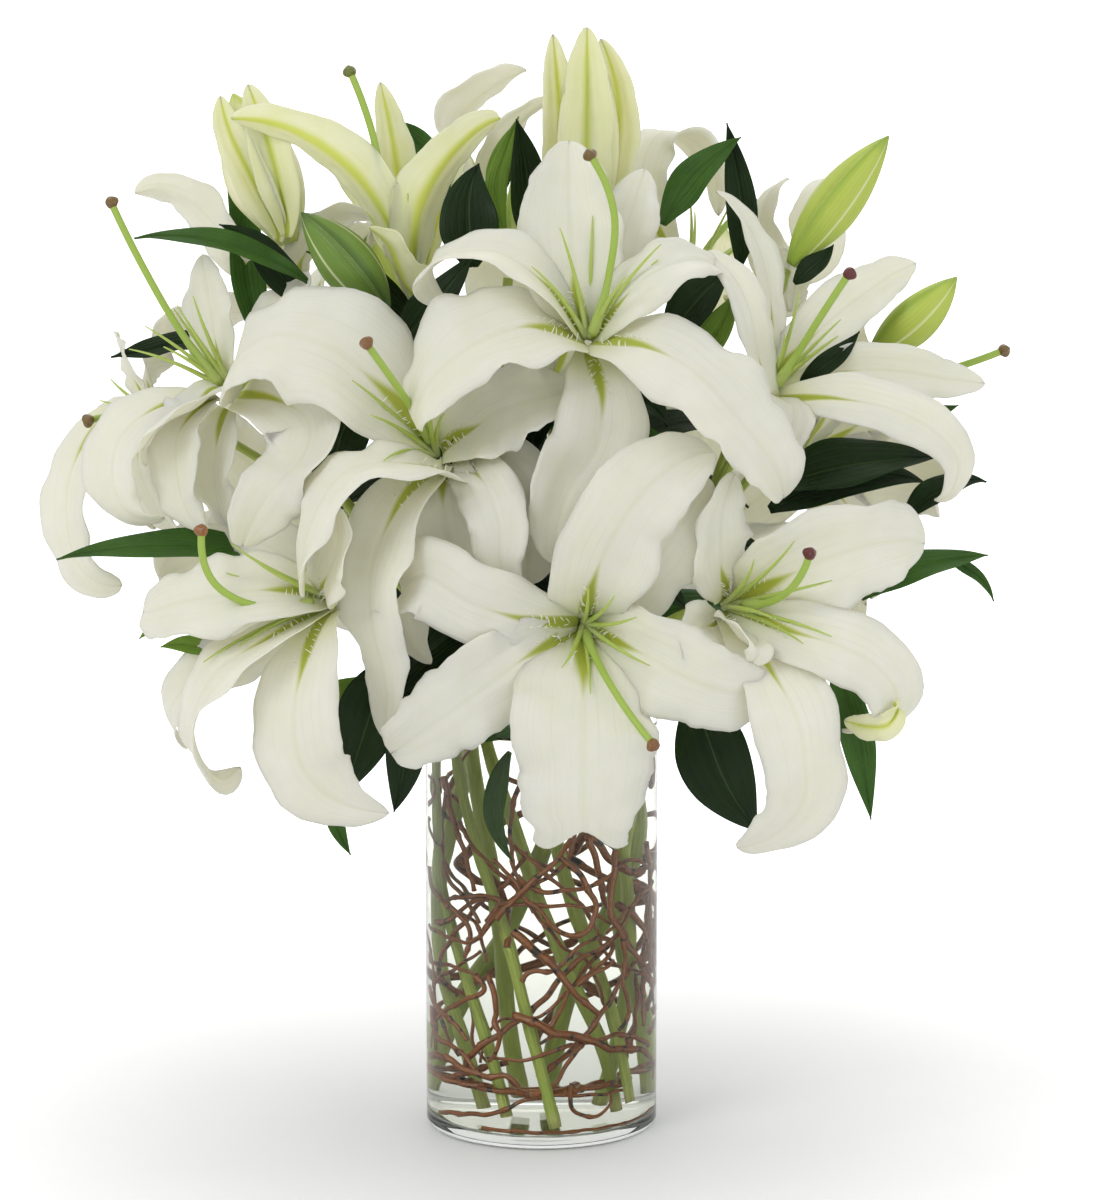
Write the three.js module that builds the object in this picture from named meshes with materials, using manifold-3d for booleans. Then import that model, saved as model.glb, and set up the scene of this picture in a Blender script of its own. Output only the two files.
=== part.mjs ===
// A clear glass cylinder of water holding a bunch of white lilies: open blooms, buds, leaves,
// green stems that reach the floor of the vase and a tangle of curly willow twigs.
// Millimetres, +Z up, the vase standing on z = 0 with its axis on z; -Y is the front.
import * as THREE from 'three';
import { mergeVertices } from 'three/addons/utils/BufferGeometryUtils.js';
import Module from 'manifold-3d';

const wasm = await Module();
wasm.setup();

// Driving dimensions of the vase and what is in it.
const VASE = { radius: 52, wall: 3.5, floor: 5, height: 203, round: 4 };
const WATER_TOP = 183;
const GAP = 0.4;
const TEPAL_THICK = 1.8;
const LEAF_THICK = 1.4;

const COLOURS = {
  glass: 0xe6ecec, water: 0xeaf2ee, tepal: 0xf4f3ea, style: 0x9dbb4e, bud_pale: 0xdfe0a8,
  bud_green: 0x9cb85a, leaf: 0x2c5226, stem: 0x7fa23c, willow: 0x6b3a20,
};

// Each open bloom: where its six tepals meet, the way it faces, and for each tepal its half width,
// the turn of its blade at root and tip in degrees, and the points its midrib passes through.
const BLOOMS = {
  bloom_front_low: {
    base: [18, -56, 238], axis: [0.1, -0.95, -0.2],
    tepals: [
      [21, 0, 0, 0.3, [[19, -64, 241], [22, -88, 258], [30, -100, 280], [43, -102, 300], [58, -94, 311],
        [73, -84, 314]]],
      [19, 0, 10, 0.2, [[22, -64, 239], [38, -80, 256], [52, -88, 274], [64, -88, 291], [71, -82, 303]]],
      [20, 0, -10, 0.1, [[21, -64, 236], [42, -90, 229], [64, -102, 219], [84, -100, 214],
        [97, -88, 217]]],
      [29, 0, 0, 0.1, [[18, -64, 233], [18, -92, 217], [18, -108, 195], [18, -108, 170], [17, -96, 149]]],
      [19, 0, 10, 0.2, [[14, -64, 235], [-6, -88, 227], [-28, -98, 213], [-48, -96, 198],
        [-64, -86, 185]]],
      [17, 0, 20, 0.2, [[15, -64, 239], [-6, -86, 243], [-29, -98, 252], [-50, -94, 263],
        [-61, -82, 252], [-57, -76, 235], [-47, -74, 222]]],
    ],
  },
  bloom_upper: {
    base: [20, -44, 356], axis: [0.05, -0.7, 0.7],
    tepals: [
      [21, 0, 0, 0.3, [[18, -48, 362], [14, -52, 385], [12, -46, 412], [12, -30, 443]]],
      [14, 0, 0, 0.2, [[22, -46, 364], [31, -42, 388], [38, -30, 410], [45, -14, 430]]],
      [14, 0, 0, 0.2, [[24, -50, 362], [38, -60, 380], [53, -62, 391], [67, -54, 394], [77, -42, 388]]],
      [12, 0, 20, 0.3, [[16, -50, 362], [2, -62, 384], [-18, -68, 398], [-38, -64, 397], [-50, -54, 385],
        [-40, -50, 373]]],
      [25, 0, 15, 0.2, [[16, -52, 359], [-8, -74, 367], [-30, -84, 360], [-47, -84, 344],
        [-53, -76, 325]]],
      [21, 0, 0, 0.2, [[24, -52, 358], [45, -76, 358], [66, -88, 347], [84, -90, 329], [98, -86, 311],
        [103, -78, 294]]],
      [19, 0, -20, 0.2, [[21, -52, 352], [26, -72, 336], [23, -82, 316], [10, -84, 294], [6, -78, 266]]],
    ],
  },
  bloom_right: {
    base: [97, -22, 330], axis: [0.5, -0.4, 0.75],
    tepals: [
      [9, 0, 0, 0.3, [[100, -24, 353], [100, -20, 374], [95, -14, 397], [88, -8, 410], [77, 0, 420]]],
      [9, 0, -50, 0.3, [[99, -38, 332], [94, -46, 350], [90, -50, 370], [84, -48, 384], [71, -40, 396]]],
      [13, 0, 0, 0.3, [[104, -24, 343], [118, -20, 357], [137, -12, 373], [153, -4, 383], [165, 2, 388]]],
      [11, 40, 40, 0.3, [[113, -30, 337], [134, -34, 344], [156, -34, 344], [176, -28, 340],
        [194, -18, 337]]],
      [11, 50, 50, 0.3, [[106, -36, 332], [126, -52, 334], [150, -58, 330], [169, -56, 320],
        [180, -48, 306], [177, -42, 292], [171, -38, 288]]],
      [9, 0, 40, 0.2, [[102, -38, 333], [108, -52, 330], [107, -62, 321], [101, -62, 307]]],
    ],
  },
  bloom_centre_left: {
    base: [-44, -42, 306], axis: [-0.35, -0.65, 0.65],
    tepals: [
      [28, 0, 0, 0.1, [[-50, -50, 318], [-66, -62, 338], [-86, -66, 354], [-108, -60, 362],
        [-128, -48, 350]]],
      [20, 0, 30, 0.2, [[-39, -62, 302], [-59, -90, 311], [-80, -98, 308], [-93, -98, 292],
        [-100, -94, 274], [-101, -88, 253]]],
      [22, 0, 0, 0.3, [[-40, -51, 315], [-22, -58, 326], [-2, -62, 334], [14, -58, 338]]],
      [13, 0, 0, 0.2, [[-34, -58, 306], [-24, -80, 300], [-18, -90, 284], [-17, -90, 267],
        [-11, -84, 252]]],
      [20, 0, 20, 0.2, [[-46, -58, 304], [-62, -80, 290], [-72, -86, 266], [-71, -84, 240],
        [-66, -80, 215], [-68, -74, 190]]],
      [19, 0, 0, 0.2, [[-43, -58, 304], [-42, -72, 288], [-37, -76, 268], [-26, -72, 248]]],
    ],
  },
  bloom_left: {
    base: [-132, -20, 330], axis: [-0.5, -0.4, 0.75],
    tepals: [
      [12, 0, 0, 0.3, [[-139, -22, 343], [-143, -18, 358], [-146, -10, 373], [-149, 0, 392]]],
      [14, 0, 30, 0.3, [[-142, -34, 336], [-151, -46, 330], [-162, -52, 325], [-169, -50, 316],
        [-171, -44, 304]]],
      [15, 0, -40, 0.2, [[-150, -32, 332], [-168, -40, 328], [-182, -46, 317], [-186, -46, 300],
        [-180, -42, 284], [-164, -38, 280]]],
      [15, 0, 0, 0.2, [[-145, -34, 330], [-157, -44, 318], [-158, -50, 302], [-154, -50, 287],
        [-146, -46, 275]]],
      [13, 0, 10, 0.3, [[-130, -42, 334], [-114, -56, 334], [-100, -66, 326], [-101, -72, 313],
        [-111, -76, 301], [-121, -74, 287], [-128, -68, 272]]],
      [16, 0, 0, 0.3, [[-128, -20, 338], [-118, -16, 356], [-112, -8, 372], [-104, 4, 384]]],
    ],
  },
  bloom_left_low: {
    base: [-84, -66, 248], axis: [-0.8, -0.55, 0.15],
    tepals: [
      [20, 30, 20, 0.2, [[-94, -70, 251], [-118, -84, 256], [-141, -86, 252], [-160, -78, 247],
        [-171, -66, 243]]],
      [16, 0, 20, 0.2, [[-98, -74, 243], [-117, -92, 235], [-138, -98, 222], [-149, -96, 201],
        [-146, -90, 183], [-137, -84, 173], [-129, -80, 178]]],
      [20, -15, -45, 0.1, [[-94, -76, 240], [-101, -96, 225], [-104, -106, 205], [-101, -106, 184],
        [-87, -98, 167], [-65, -90, 160]]],
      [14, 0, 0, 0.2, [[-93, -78, 254], [-89, -90, 267], [-86, -96, 278], [-86, -94, 292]]],
      [15, 0, 0, 0.2, [[-92, -58, 252], [-112, -50, 266], [-130, -38, 274], [-146, -24, 276]]],
      [16, 0, 0, 0.2, [[-90, -60, 244], [-120, -54, 232], [-146, -48, 218], [-162, -44, 208]]],
    ],
  },
  bloom_far_left: {
    base: [-170, 4, 322], axis: [-0.85, 0.1, 0.1],
    tepals: [
      [13, -55, -55, 0.2, [[-190, 0, 321], [-202, -8, 309], [-209, -14, 289], [-208, -14, 265],
        [-200, -10, 250], [-186, -6, 246]]],
      [11, 0, 0, 0.2, [[-172, 10, 328], [-178, 28, 336], [-176, 48, 340], [-168, 66, 338]]],
      [11, 0, 0, 0.2, [[-172, 8, 322], [-190, 26, 318], [-204, 42, 306], [-206, 58, 290]]],
      [11, 0, 0, 0.2, [[-172, 10, 320], [-182, 28, 304], [-184, 40, 284], [-176, 48, 264]]],
      [11, 0, 0, 0.2, [[-176, 4, 330], [-182, 4, 340], [-186, 12, 348], [-188, 24, 350]]],
      [13, -40, -40, 0.2, [[-176, -2, 318], [-178, -6, 302], [-172, -8, 284], [-160, -6, 270]]],
    ],
  },
  bloom_right_low: {
    base: [76, -56, 244], axis: [0.6, -0.75, 0.2],
    tepals: [
      [22, 20, 10, 0.2, [[86, -62, 249], [108, -80, 262], [131, -86, 272], [150, -80, 276],
        [164, -68, 273]]],
      [15, 10, 40, 0.2, [[86, -66, 243], [106, -84, 238], [127, -90, 232], [144, -86, 222],
        [152, -80, 209], [149, -74, 197], [138, -68, 192], [130, -64, 191]]],
      [18, 10, 35, 0.12, [[82, -68, 240], [97, -90, 223], [107, -102, 206], [111, -106, 188],
        [111, -102, 168], [101, -94, 152], [84, -86, 144]]],
      [15, 0, 0, 0.2, [[79, -64, 251], [76, -80, 270], [77, -86, 288], [82, -82, 305]]],
      [11, 0, 0, 0.3, [[75, -70, 239], [68, -86, 239], [63, -94, 233], [67, -94, 224]]],
      [11, 0, 0, 0.3, [[81, -70, 239], [86, -92, 236], [92, -98, 232], [88, -96, 225]]],
    ],
  },
  bloom_top_left: {
    base: [-54, -8, 366], axis: [-0.1, -0.15, 1],
    tepals: [
      [10, 0, 0, 0.4, [[-57, -8, 377], [-65, -14, 396], [-80, -16, 424], [-99, -13, 442],
        [-117, -9, 450], [-135, -4, 452]]],
      [8, 0, 0, 0.4, [[-57, -2, 377], [-61, 4, 404], [-65, 8, 432], [-71, 14, 467]]],
      [10, 0, 0, 0.4, [[-54, -9, 378], [-52, -15, 402], [-46, -17, 423], [-36, -13, 440], [-19, -6, 452]]],
      [11, 0, 0, 0.4, [[-55, -14, 374], [-62, -25, 389], [-68, -30, 400], [-76, -31, 409]]],
      [9, 0, 0, 0.4, [[-53, 2, 376], [-48, 16, 400], [-40, 28, 426], [-28, 38, 450]]],
      [10, 0, 0, 0.4, [[-57, 2, 376], [-68, 18, 400], [-84, 30, 422], [-104, 38, 438]]],
    ],
  },
};

// Blooms that show only from behind and above share one shape: base, facing, size and spin.
const SHARED_BLOOMS = {
  bloom_back_top: [[-14, 54, 388], [0, 0.5, 0.87], 0.85, 10],
  bloom_back_top_right: [[64, 56, 368], [0.4, 0.5, 0.75], 0.9, 35],
  bloom_back_top_left: [[-104, 54, 362], [-0.55, 0.55, 0.6], 0.9, 0],
  bloom_back_right: [[118, 46, 296], [0.85, 0.5, 0.1], 0.85, 20],
  bloom_back_centre: [[0, 94, 322], [0, 1, 0.25], 1, 5],
  bloom_back_left_low: [[-92, 80, 262], [-0.6, 0.8, -0.05], 1, 40],
  bloom_back_right_low: [[68, 90, 250], [0.4, 0.9, -0.1], 1, 15],
};
// Along the facing and away from it, in mm, for a tepal of a shared bloom.
const SHARED_RIB = [[6, 8], [26, 24], [42, 46], [44, 66], [32, 82]];

// Tepals of those blooms that show over the bunch; each takes the place of the one nearest it.
const SEEN_TEPALS = {
  bloom_back_top: [
    [13, 0, 0, 0.3, [[-32, 60, 431], [-39, 62, 446], [-29, 66, 460], [-7, 70, 471]]],
    [8, 0, 0, 0.5, [[-23, 50, 427], [-16, 48, 440], [-5, 46, 453], [8, 46, 458]]],
  ],
  bloom_back_top_right: [
    [12, 0, 0, 0.2, [[57, 46, 391], [49, 50, 411], [47, 54, 429], [54, 58, 442], [67, 60, 441],
      [77, 58, 429], [80, 54, 406]]],
    [12, 0, 0, 0.2, [[111, 30, 370], [102, 36, 386], [99, 42, 403], [103, 44, 417], [111, 44, 423]]],
    [9, 0, 0, 0.3, [[105, 20, 371], [110, 10, 388], [113, 6, 388], [112, 4, 378], [110, 2, 367]]],
    [14, 0, 0, 0.2, [[123, 40, 391], [122, 44, 407], [124, 48, 418], [133, 52, 423]]],
  ],
  bloom_back_top_left: [
    [12, 0, 0, 0.2, [[-139, 30, 392], [-150, 34, 408], [-166, 36, 419], [-182, 38, 417]]],
    [12, 0, 0, 0.2, [[-108, 24, 388], [-97, 20, 403], [-85, 18, 410], [-75, 16, 405], [-77, 16, 393]]],
    [10, 0, 0, 0.2, [[-112, 30, 387], [-116, 28, 397], [-114, 28, 403], [-108, 28, 407]]],
  ],
};

// Styles: the points each follows from the middle of its bloom to the stigma at the end.
const STYLES = {
  pistil_front_low: [[19, -64, 234], [26, -92, 222], [36, -108, 208], [47, -118, 195]],
  pistil_upper: [[22, -52, 362], [29, -62, 388], [31, -62, 414], [21, -58, 438]],
  pistil_right: [[102, -34, 338], [110, -46, 352], [120, -56, 370], [131, -62, 388]],
  pistil_centre_left: [[-48, -52, 316], [-54, -70, 330], [-62, -84, 344], [-73, -94, 361]],
  pistil_left: [[-140, -26, 338], [-156, -30, 360], [-172, -30, 388], [-186, -26, 416]],
  pistil_left_low: [[-98, -78, 249], [-124, -94, 251], [-139, -98, 262], [-143, -96, 282]],
  pistil_right_low: [[88, -68, 247], [100, -88, 252], [108, -98, 261], [113, -102, 273]],
  pistil_top_left: [[-58, -8, 384], [-68, -14, 420], [-74, -14, 448], [-83, -10, 472]],
};

// Buds: greatest radius, colour, and the points of the axis from stalk to tip.
const BUDS = {
  bud_top: [15, 'bud_pale', [[20, 10, 394], [21, 10, 425], [21, 10, 458], [19, 10, 491]]],
  bud_left_big: [17, 'bud_pale', [[-112, 16, 396], [-119, 16, 418], [-127, 16, 440], [-136, 16, 462]]],
  bud_left_green: [12, 'bud_green', [[-68, -24, 370], [-78, -30, 384], [-90, -30, 398], [-104, -26, 412]]],
  bud_right_tall: [11, 'bud_green', [[110, -4, 388], [121, -6, 405], [136, -6, 425], [152, -2, 444]]],
  bud_right: [10, 'bud_green', [[146, 4, 348], [157, 2, 357], [169, 0, 368], [183, 2, 382]]],
  bud_back_left: [11, 'bud_green', [[-54, 80, 342], [-64, 94, 358], [-74, 108, 376], [-82, 120, 396]]],
  bud_back_right: [11, 'bud_pale', [[62, 92, 344], [72, 106, 358], [80, 120, 376], [86, 130, 398]]],
};

// Leaves: half width, the way the upper face looks, and the midrib from stalk to tip.
const LEAVES = {
  leaf_left_long: [9, [0, -0.6, 0.8], [[-112, -34, 262], [-140, -36, 266], [-175, -36, 267],
    [-212, -30, 261]]],
  leaf_left_tip: [7, [0, -0.6, 0.8], [[-144, 8, 352], [-160, 8, 352], [-175, 4, 349], [-190, 0, 347]]],
  leaf_upper_left: [7, [0, -0.6, 0.8], [[-102, -8, 380], [-120, -12, 391], [-150, -14, 400],
    [-178, -10, 400]]],
  leaf_left_upright: [8, [0.3, -0.9, 0.1], [[-122, 26, 345], [-131, 30, 375], [-134, 34, 410],
    [-143, 36, 446]]],
  leaf_top_dark: [13, [0, -0.9, 0.3], [[-30, -20, 388], [-31, -22, 404], [-31, -22, 419],
    [-27, -20, 433]]],
  leaf_top: [9, [0.2, -0.9, 0.1], [[-4, 12, 392], [-5, 14, 411], [-7, 14, 431], [-11, 12, 451]]],
  leaf_top_right: [9, [-0.4, -0.8, 0.3], [[54, 16, 404], [63, 18, 418], [74, 16, 431], [88, 12, 443]]],
  leaf_right_big: [13, [0, -0.7, 0.7], [[100, -34, 292], [120, -38, 300], [146, -38, 305],
    [172, -32, 306]]],
  leaf_right: [8, [0, -0.7, 0.7], [[140, -34, 244], [155, -34, 254], [172, -30, 259], [196, -24, 262]]],
  leaf_right_end: [7, [0, -0.7, 0.7], [[160, -8, 276], [172, -8, 286], [185, -6, 292], [197, -4, 292]]],
  leaf_vase_right: [16, [-0.2, -0.9, 0.2], [[66, -56, 205], [72, -64, 188], [80, -66, 168],
    [94, -60, 146]]],
  leaf_hang_right: [8, [0.2, -0.9, 0.2], [[126, -56, 224], [132, -58, 203], [138, -56, 180],
    [144, -50, 149]]],
  leaf_vase_left: [14, [0, -0.9, 0.3], [[-66, -50, 220], [-72, -58, 203], [-79, -60, 182],
    [-85, -56, 162]]],
  leaf_back: [13, [0, 0.7, 0.7], [[0, 62, 262], [-4, 92, 252], [-8, 116, 230], [-14, 128, 200]]],
};

// Stems: the main one from the floor of the vase up, then the side stalks that leave it.
const STEMS = {
  stem_1: [
    [[6, -43, 9], [2, -41, 26], [-6, -37, 59], [-14, -31, 94], [-26, -24, 135], [-33, -20, 168],
      [-36, -21, 206], [-56, -38, 232], [-75, -59, 245]],
  ],
  stem_2: [
    [[-14, -34, 12], [-20, -28, 39], [-31, -16, 80], [-38, -8, 115], [-39, -4, 160], [-38, -3, 208],
      [-58, -4, 240], [-92, -6, 290], [-126, -15, 321]],
    [[-60, -4, 243], [-110, 6, 290], [-160, 5, 320]],
  ],
  stem_3: [
    [[29, -18, 11], [22, -18, 44], [14, -16, 64], [-1, -12, 107], [-9, -10, 138], [-20, -10, 180],
      [-25, -12, 230], [-39, -34, 298]],
    [[-22, -10, 222], [-40, 4, 300], [-53, -6, 356]],
  ],
  stem_4: [
    [[37, -25, 16], [26, -18, 59], [17, -8, 83], [9, -1, 110], [3, -2, 150], [4, -6, 200], [10, -20, 300],
      [19, -36, 347]],
    [[4, -4, 174], [8, -15, 205], [17, -46, 236]],
  ],
  stem_5: [
    [[31, 20, 10], [29, 18, 50], [25, 14, 80], [24, 11, 110], [31, 7, 160], [37, 4, 208], [52, 0, 240],
      [76, -6, 285], [91, -17, 321]],
    [[52, 0, 240], [108, 8, 310], [143, 6, 345]],
    [[72, -5, 277], [94, 8, 340], [108, -2, 385]],
  ],
  stem_6: [[[19, 4, 10], [32, -6, 90], [29, -16, 150], [31, -24, 206], [46, -38, 228], [69, -48, 242]]],
  stem_7: [
    [[2, 34, 10], [8, 32, 60], [20, 27, 100], [26, 24, 130], [22, 27, 170], [14, 34, 208], [12, 56, 262],
      [2, 86, 318]],
    [[14, 35, 212], [26, 24, 320], [20, 11, 390]],
    [[14, 33, 203], [22, 38, 220], [42, 60, 238], [65, 83, 250]],
  ],
  stem_8: [
    [[-20, -5, 10], [-28, 0, 45], [-33, 6, 70], [-31, 15, 110], [-22, 24, 160], [-24, 32, 207],
      [-50, 52, 236], [-87, 75, 262]],
    [[-24, 32, 207], [-60, 36, 290], [-99, 49, 356]],
  ],
  stem_9: [[[-6, 24, 10], [-10, 20, 48], [-12, 15, 80], [-16, 13, 120], [-21, 15, 165], [-24, 20, 206],
    [-24, 34, 280], [-15, 50, 378]]],
  stem_10: [[[-30, 26, 10], [-23, 28, 48], [-8, 32, 90], [2, 38, 130], [10, 41, 170], [26, 38, 207],
    [34, 44, 250], [52, 52, 320], [62, 54, 358]]],
};

// Curly willow twigs wind between the stems and the glass: start angle, turns, start and end
// height, radius of the winding and of the twig, and the number of kinks.
const TWIGS = {
  willow_twig_1: { start: 200, turns: 1.2, low: 14, high: 189, ring: 45.6, girth: 1.7, kinks: 5 },
  willow_twig_2: { start: 20, turns: 1.2, low: 20, high: 193, ring: 45.6, girth: 1.6, kinks: 6 },
  willow_twig_3: { start: 300, turns: -1.4, low: 26, high: 190, ring: 41.7, girth: 1.4, kinks: 6 },
};

const vec = (p) => new THREE.Vector3(p[0], p[1], p[2]);
const curve = (points) => new THREE.CatmullRomCurve3(points.map(vec), false, 'centripetal');

// Closed solid through a row of rings that have the same number of points, capped at both ends.
function skin(rings) {
  const n = rings[0].length;
  const index = [];
  for (let i = 0; i + 1 < rings.length; i++) {
    for (let k = 0; k < n; k++) {
      const a = i * n + k;
      const b = i * n + ((k + 1) % n);
      index.push(a, b, b + n, a, b + n, a + n);
    }
  }
  const last = (rings.length - 1) * n;
  for (let k = 1; k + 1 < n; k++) {
    index.push(0, k + 1, k);
    index.push(last, last + k, last + k + 1);
  }
  const geometry = new THREE.BufferGeometry();
  const flat = rings.flat().flatMap((p) => [p.x, p.y, p.z]);
  geometry.setAttribute('position', new THREE.Float32BufferAttribute(flat, 3));
  geometry.setIndex(index);
  return toSolid(geometry);
}

function toSolid(source) {
  const geometry = source.clone();
  geometry.deleteAttribute('normal');
  geometry.deleteAttribute('uv');
  const welded = mergeVertices(geometry, 1e-4);
  const mesh = new wasm.Mesh({
    numProp: 3,
    vertProperties: new Float32Array(welded.attributes.position.array),
    triVerts: new Uint32Array(welded.index.array),
  });
  mesh.merge();
  return new wasm.Manifold(mesh);
}

// Direction square to the tangent, turned from the cross of facing and tangent by roll degrees.
function bladeFrame(path, t, side, roll) {
  const tangent = path.getTangentAt(t);
  const across = side.clone().addScaledVector(tangent, -side.dot(tangent)).normalize();
  across.applyAxisAngle(tangent, THREE.MathUtils.degToRad(roll));
  return { tangent, across, up: new THREE.Vector3().crossVectors(tangent, across) };
}

// Round-sectioned sweep whose radius at t (0 to 1) comes from radiusAt.
function tube(points, radiusAt, sides, steps, grow = 0) {
  const path = curve(points);
  const frames = path.computeFrenetFrames(steps, false);
  const rings = [];
  for (let i = 0; i <= steps; i++) {
    const t = i / steps;
    const radius = radiusAt(t) + grow;
    const ring = [];
    for (let k = 0; k < sides; k++) {
      const a = (k / sides) * 2 * Math.PI;
      ring.push(path.getPointAt(t)
        .addScaledVector(frames.normals[i], radius * Math.cos(a))
        .addScaledVector(frames.binormals[i], radius * Math.sin(a)));
    }
    rings.push(ring);
  }
  return skin(rings);
}

// Thin cupped blade along a midrib: six points a ring, two edges and a midrib on each face.
function blade(points, side, widthAt, { cup, thick, roll = [0, 0], steps, grow = 0 }) {
  const path = curve(points);
  const rings = [];
  for (let i = 0; i <= steps; i++) {
    const t = i / steps;
    const { across, up } = bladeFrame(path, t, side, roll[0] + (roll[1] - roll[0]) * t);
    const centre = path.getPointAt(t);
    const half = widthAt(t);
    const at = (v, face) => centre.clone()
      .addScaledVector(across, v * (half + grow))
      .addScaledVector(up, cup * half * Math.abs(v) + face * (thick / 2 + grow));
    rings.push([at(-1, 1), at(-1, -1), at(0, -1), at(1, -1), at(1, 1), at(0, 1)]);
  }
  return skin(rings);
}

const swell = (t, peak) => Math.sin((Math.min(t / peak, 1) * Math.PI) / 2);
const fade = (t, from, power) => Math.cos((Math.max(0, (t - from) / (1 - from)) * Math.PI) / 2) ** power;

// Width of a tepal: narrow claw, widest past the middle, drawn to a short point.
const tepalShare = (t) => (0.26 + 0.74 * swell(t, 0.46)) * fade(t, 0.46, 0.56);
const tepalWidth = (half) => (t) => Math.max(half * tepalShare(t), 1.5);
const leafWidth = (half) => (t) => Math.max(half * (0.2 + 0.8 * swell(t, 0.4)) * fade(t, 0.4, 1), 0.7);
const budRadius = (girth) => (t) => Math.max(girth * (0.25 + 0.75 * swell(t, 0.45)) * fade(t, 0.45, 0.8), 1);

function sideOf(facing, points) {
  const reach = vec(points[Math.max(points.length - 3, 1)]).sub(vec(points[0]));
  const end = points.length > 5 ? reach : vec(points[points.length - 1]).sub(vec(points[0]));
  return new THREE.Vector3().crossVectors(vec(facing), end).normalize();
}

function bloom(base, facing, tepals, steps, grow) {
  const seat = vec(base);
  const back = vec(facing).normalize().multiplyScalar(-7);
  const heel = seat.clone().add(back).toArray();
  const brow = seat.clone().sub(back.clone().multiplyScalar(0.9)).toArray();
  let solid = tube([heel, base, brow], (t) => 3.4 + 3.2 * swell(t, 1), 6, 2, grow);
  for (const [half, rollRoot, rollTip, cup, points] of tepals) {
    const claw = seat.clone().lerp(vec(points[0]), 0.45).toArray();
    const piece = blade([claw, ...points], sideOf(facing, points), tepalWidth(half), {
      cup, thick: TEPAL_THICK, roll: [rollRoot, rollTip], steps, grow,
    });
    solid = solid.add(piece);
  }
  return solid;
}

// Six tepals set round the facing, broad inner ones between narrower outer ones.
function sharedTepals(base, facing, size, spin) {
  const out = vec(facing).normalize();
  const ref = Math.abs(out.z) > 0.9 ? new THREE.Vector3(1, 0, 0) : new THREE.Vector3(0, 0, 1);
  const u = new THREE.Vector3().crossVectors(out, ref).normalize();
  return [0, 1, 2, 3, 4, 5].map((k) => {
    const inner = k % 2 === 0;
    const radial = u.clone().applyAxisAngle(out, THREE.MathUtils.degToRad(spin + 60 * k));
    const lift = inner ? 1 : 0.85;
    const points = SHARED_RIB.map(([along, away]) => vec(base)
      .addScaledVector(out, along * size * lift)
      .addScaledVector(radial, away * size).toArray());
    return [(inner ? 20 : 14) * size, 0, 0, 0.2, points];
  });
}

// Each tepal in view replaces whichever is nearest it at the third point of its midrib.
function withSeen(tepals, seen) {
  const gap = (a, b) => vec(a[4][2]).distanceTo(vec(b[4][2]));
  const kept = [...tepals];
  for (const row of seen) {
    kept.sort((a, b) => gap(a, row) - gap(b, row));
    kept.shift();
  }
  return [...kept, ...seen];
}

function style(points, grow) {
  const path = curve(points);
  const end = path.getPointAt(1);
  const tip = end.clone().addScaledVector(path.getTangentAt(1), 3);
  const shaft = tube(points, () => 1.5, 6, 7, grow);
  const near = end.clone().addScaledVector(path.getTangentAt(1), -3);
  const head = [near.toArray(), end.toArray(), tip.toArray()];
  const knob = tube(head, (t) => 1.6 + 1.4 * Math.sin(Math.PI * t), 6, 3, grow);
  return shaft.add(knob);
}

function stem(runs, grow) {
  const main = tube(runs[0], (t) => 3.3 - 1 * t, 8, 11, grow);
  return runs.slice(1).reduce((sum, run) => sum.add(tube(run, () => 2.4, 6, 6, grow)), main);
}

// A twig's path: a winding round the inside of the glass, kinked in height and in reach.
function twig({ start, turns, low, high, ring, girth, kinks }, grow) {
  const count = 5 * kinks;
  const points = [];
  for (let i = 0; i <= count; i++) {
    const t = i / count;
    const angle = THREE.MathUtils.degToRad(start + 360 * turns * t) + 0.1 * Math.sin(2 * Math.PI * kinks * t);
    const reach = ring - 0.7 + 0.7 * Math.cos(2.2 * Math.PI * kinks * t);
    const z = low + (high - low) * t + 7 * Math.sin(2 * Math.PI * kinks * t + 1) * Math.sin(Math.PI * t);
    points.push([reach * Math.cos(angle), reach * Math.sin(angle), z]);
  }
  return tube(points, (t) => girth * (1 - 0.45 * t), 5, 4 * kinks, grow);
}

function lathe(profile, segments) {
  const geometry = new THREE.LatheGeometry(profile.map((p) => new THREE.Vector2(p[0], p[1])), segments);
  geometry.rotateX(Math.PI / 2);
  return toSolid(geometry);
}

function vase() {
  const { radius: r, wall, floor, height: h, round } = VASE;
  const inner = r - wall;
  return lathe([
    [0, 0], [r - round, 0], [r - 1.5, 1.5], [r, round], [r, h - 1], [r - 1, h],
    [inner + 1, h], [inner, h - 1], [inner, floor + 4], [inner - 4, floor], [0, floor],
  ], 32);
}

function waterBody() {
  const r = VASE.radius - VASE.wall - GAP;
  const z = VASE.floor + GAP;
  return lathe([[0, z], [r - 4.2, z], [r, z + 4.2], [r, WATER_TOP], [0, WATER_TOP]], 32);
}

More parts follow.
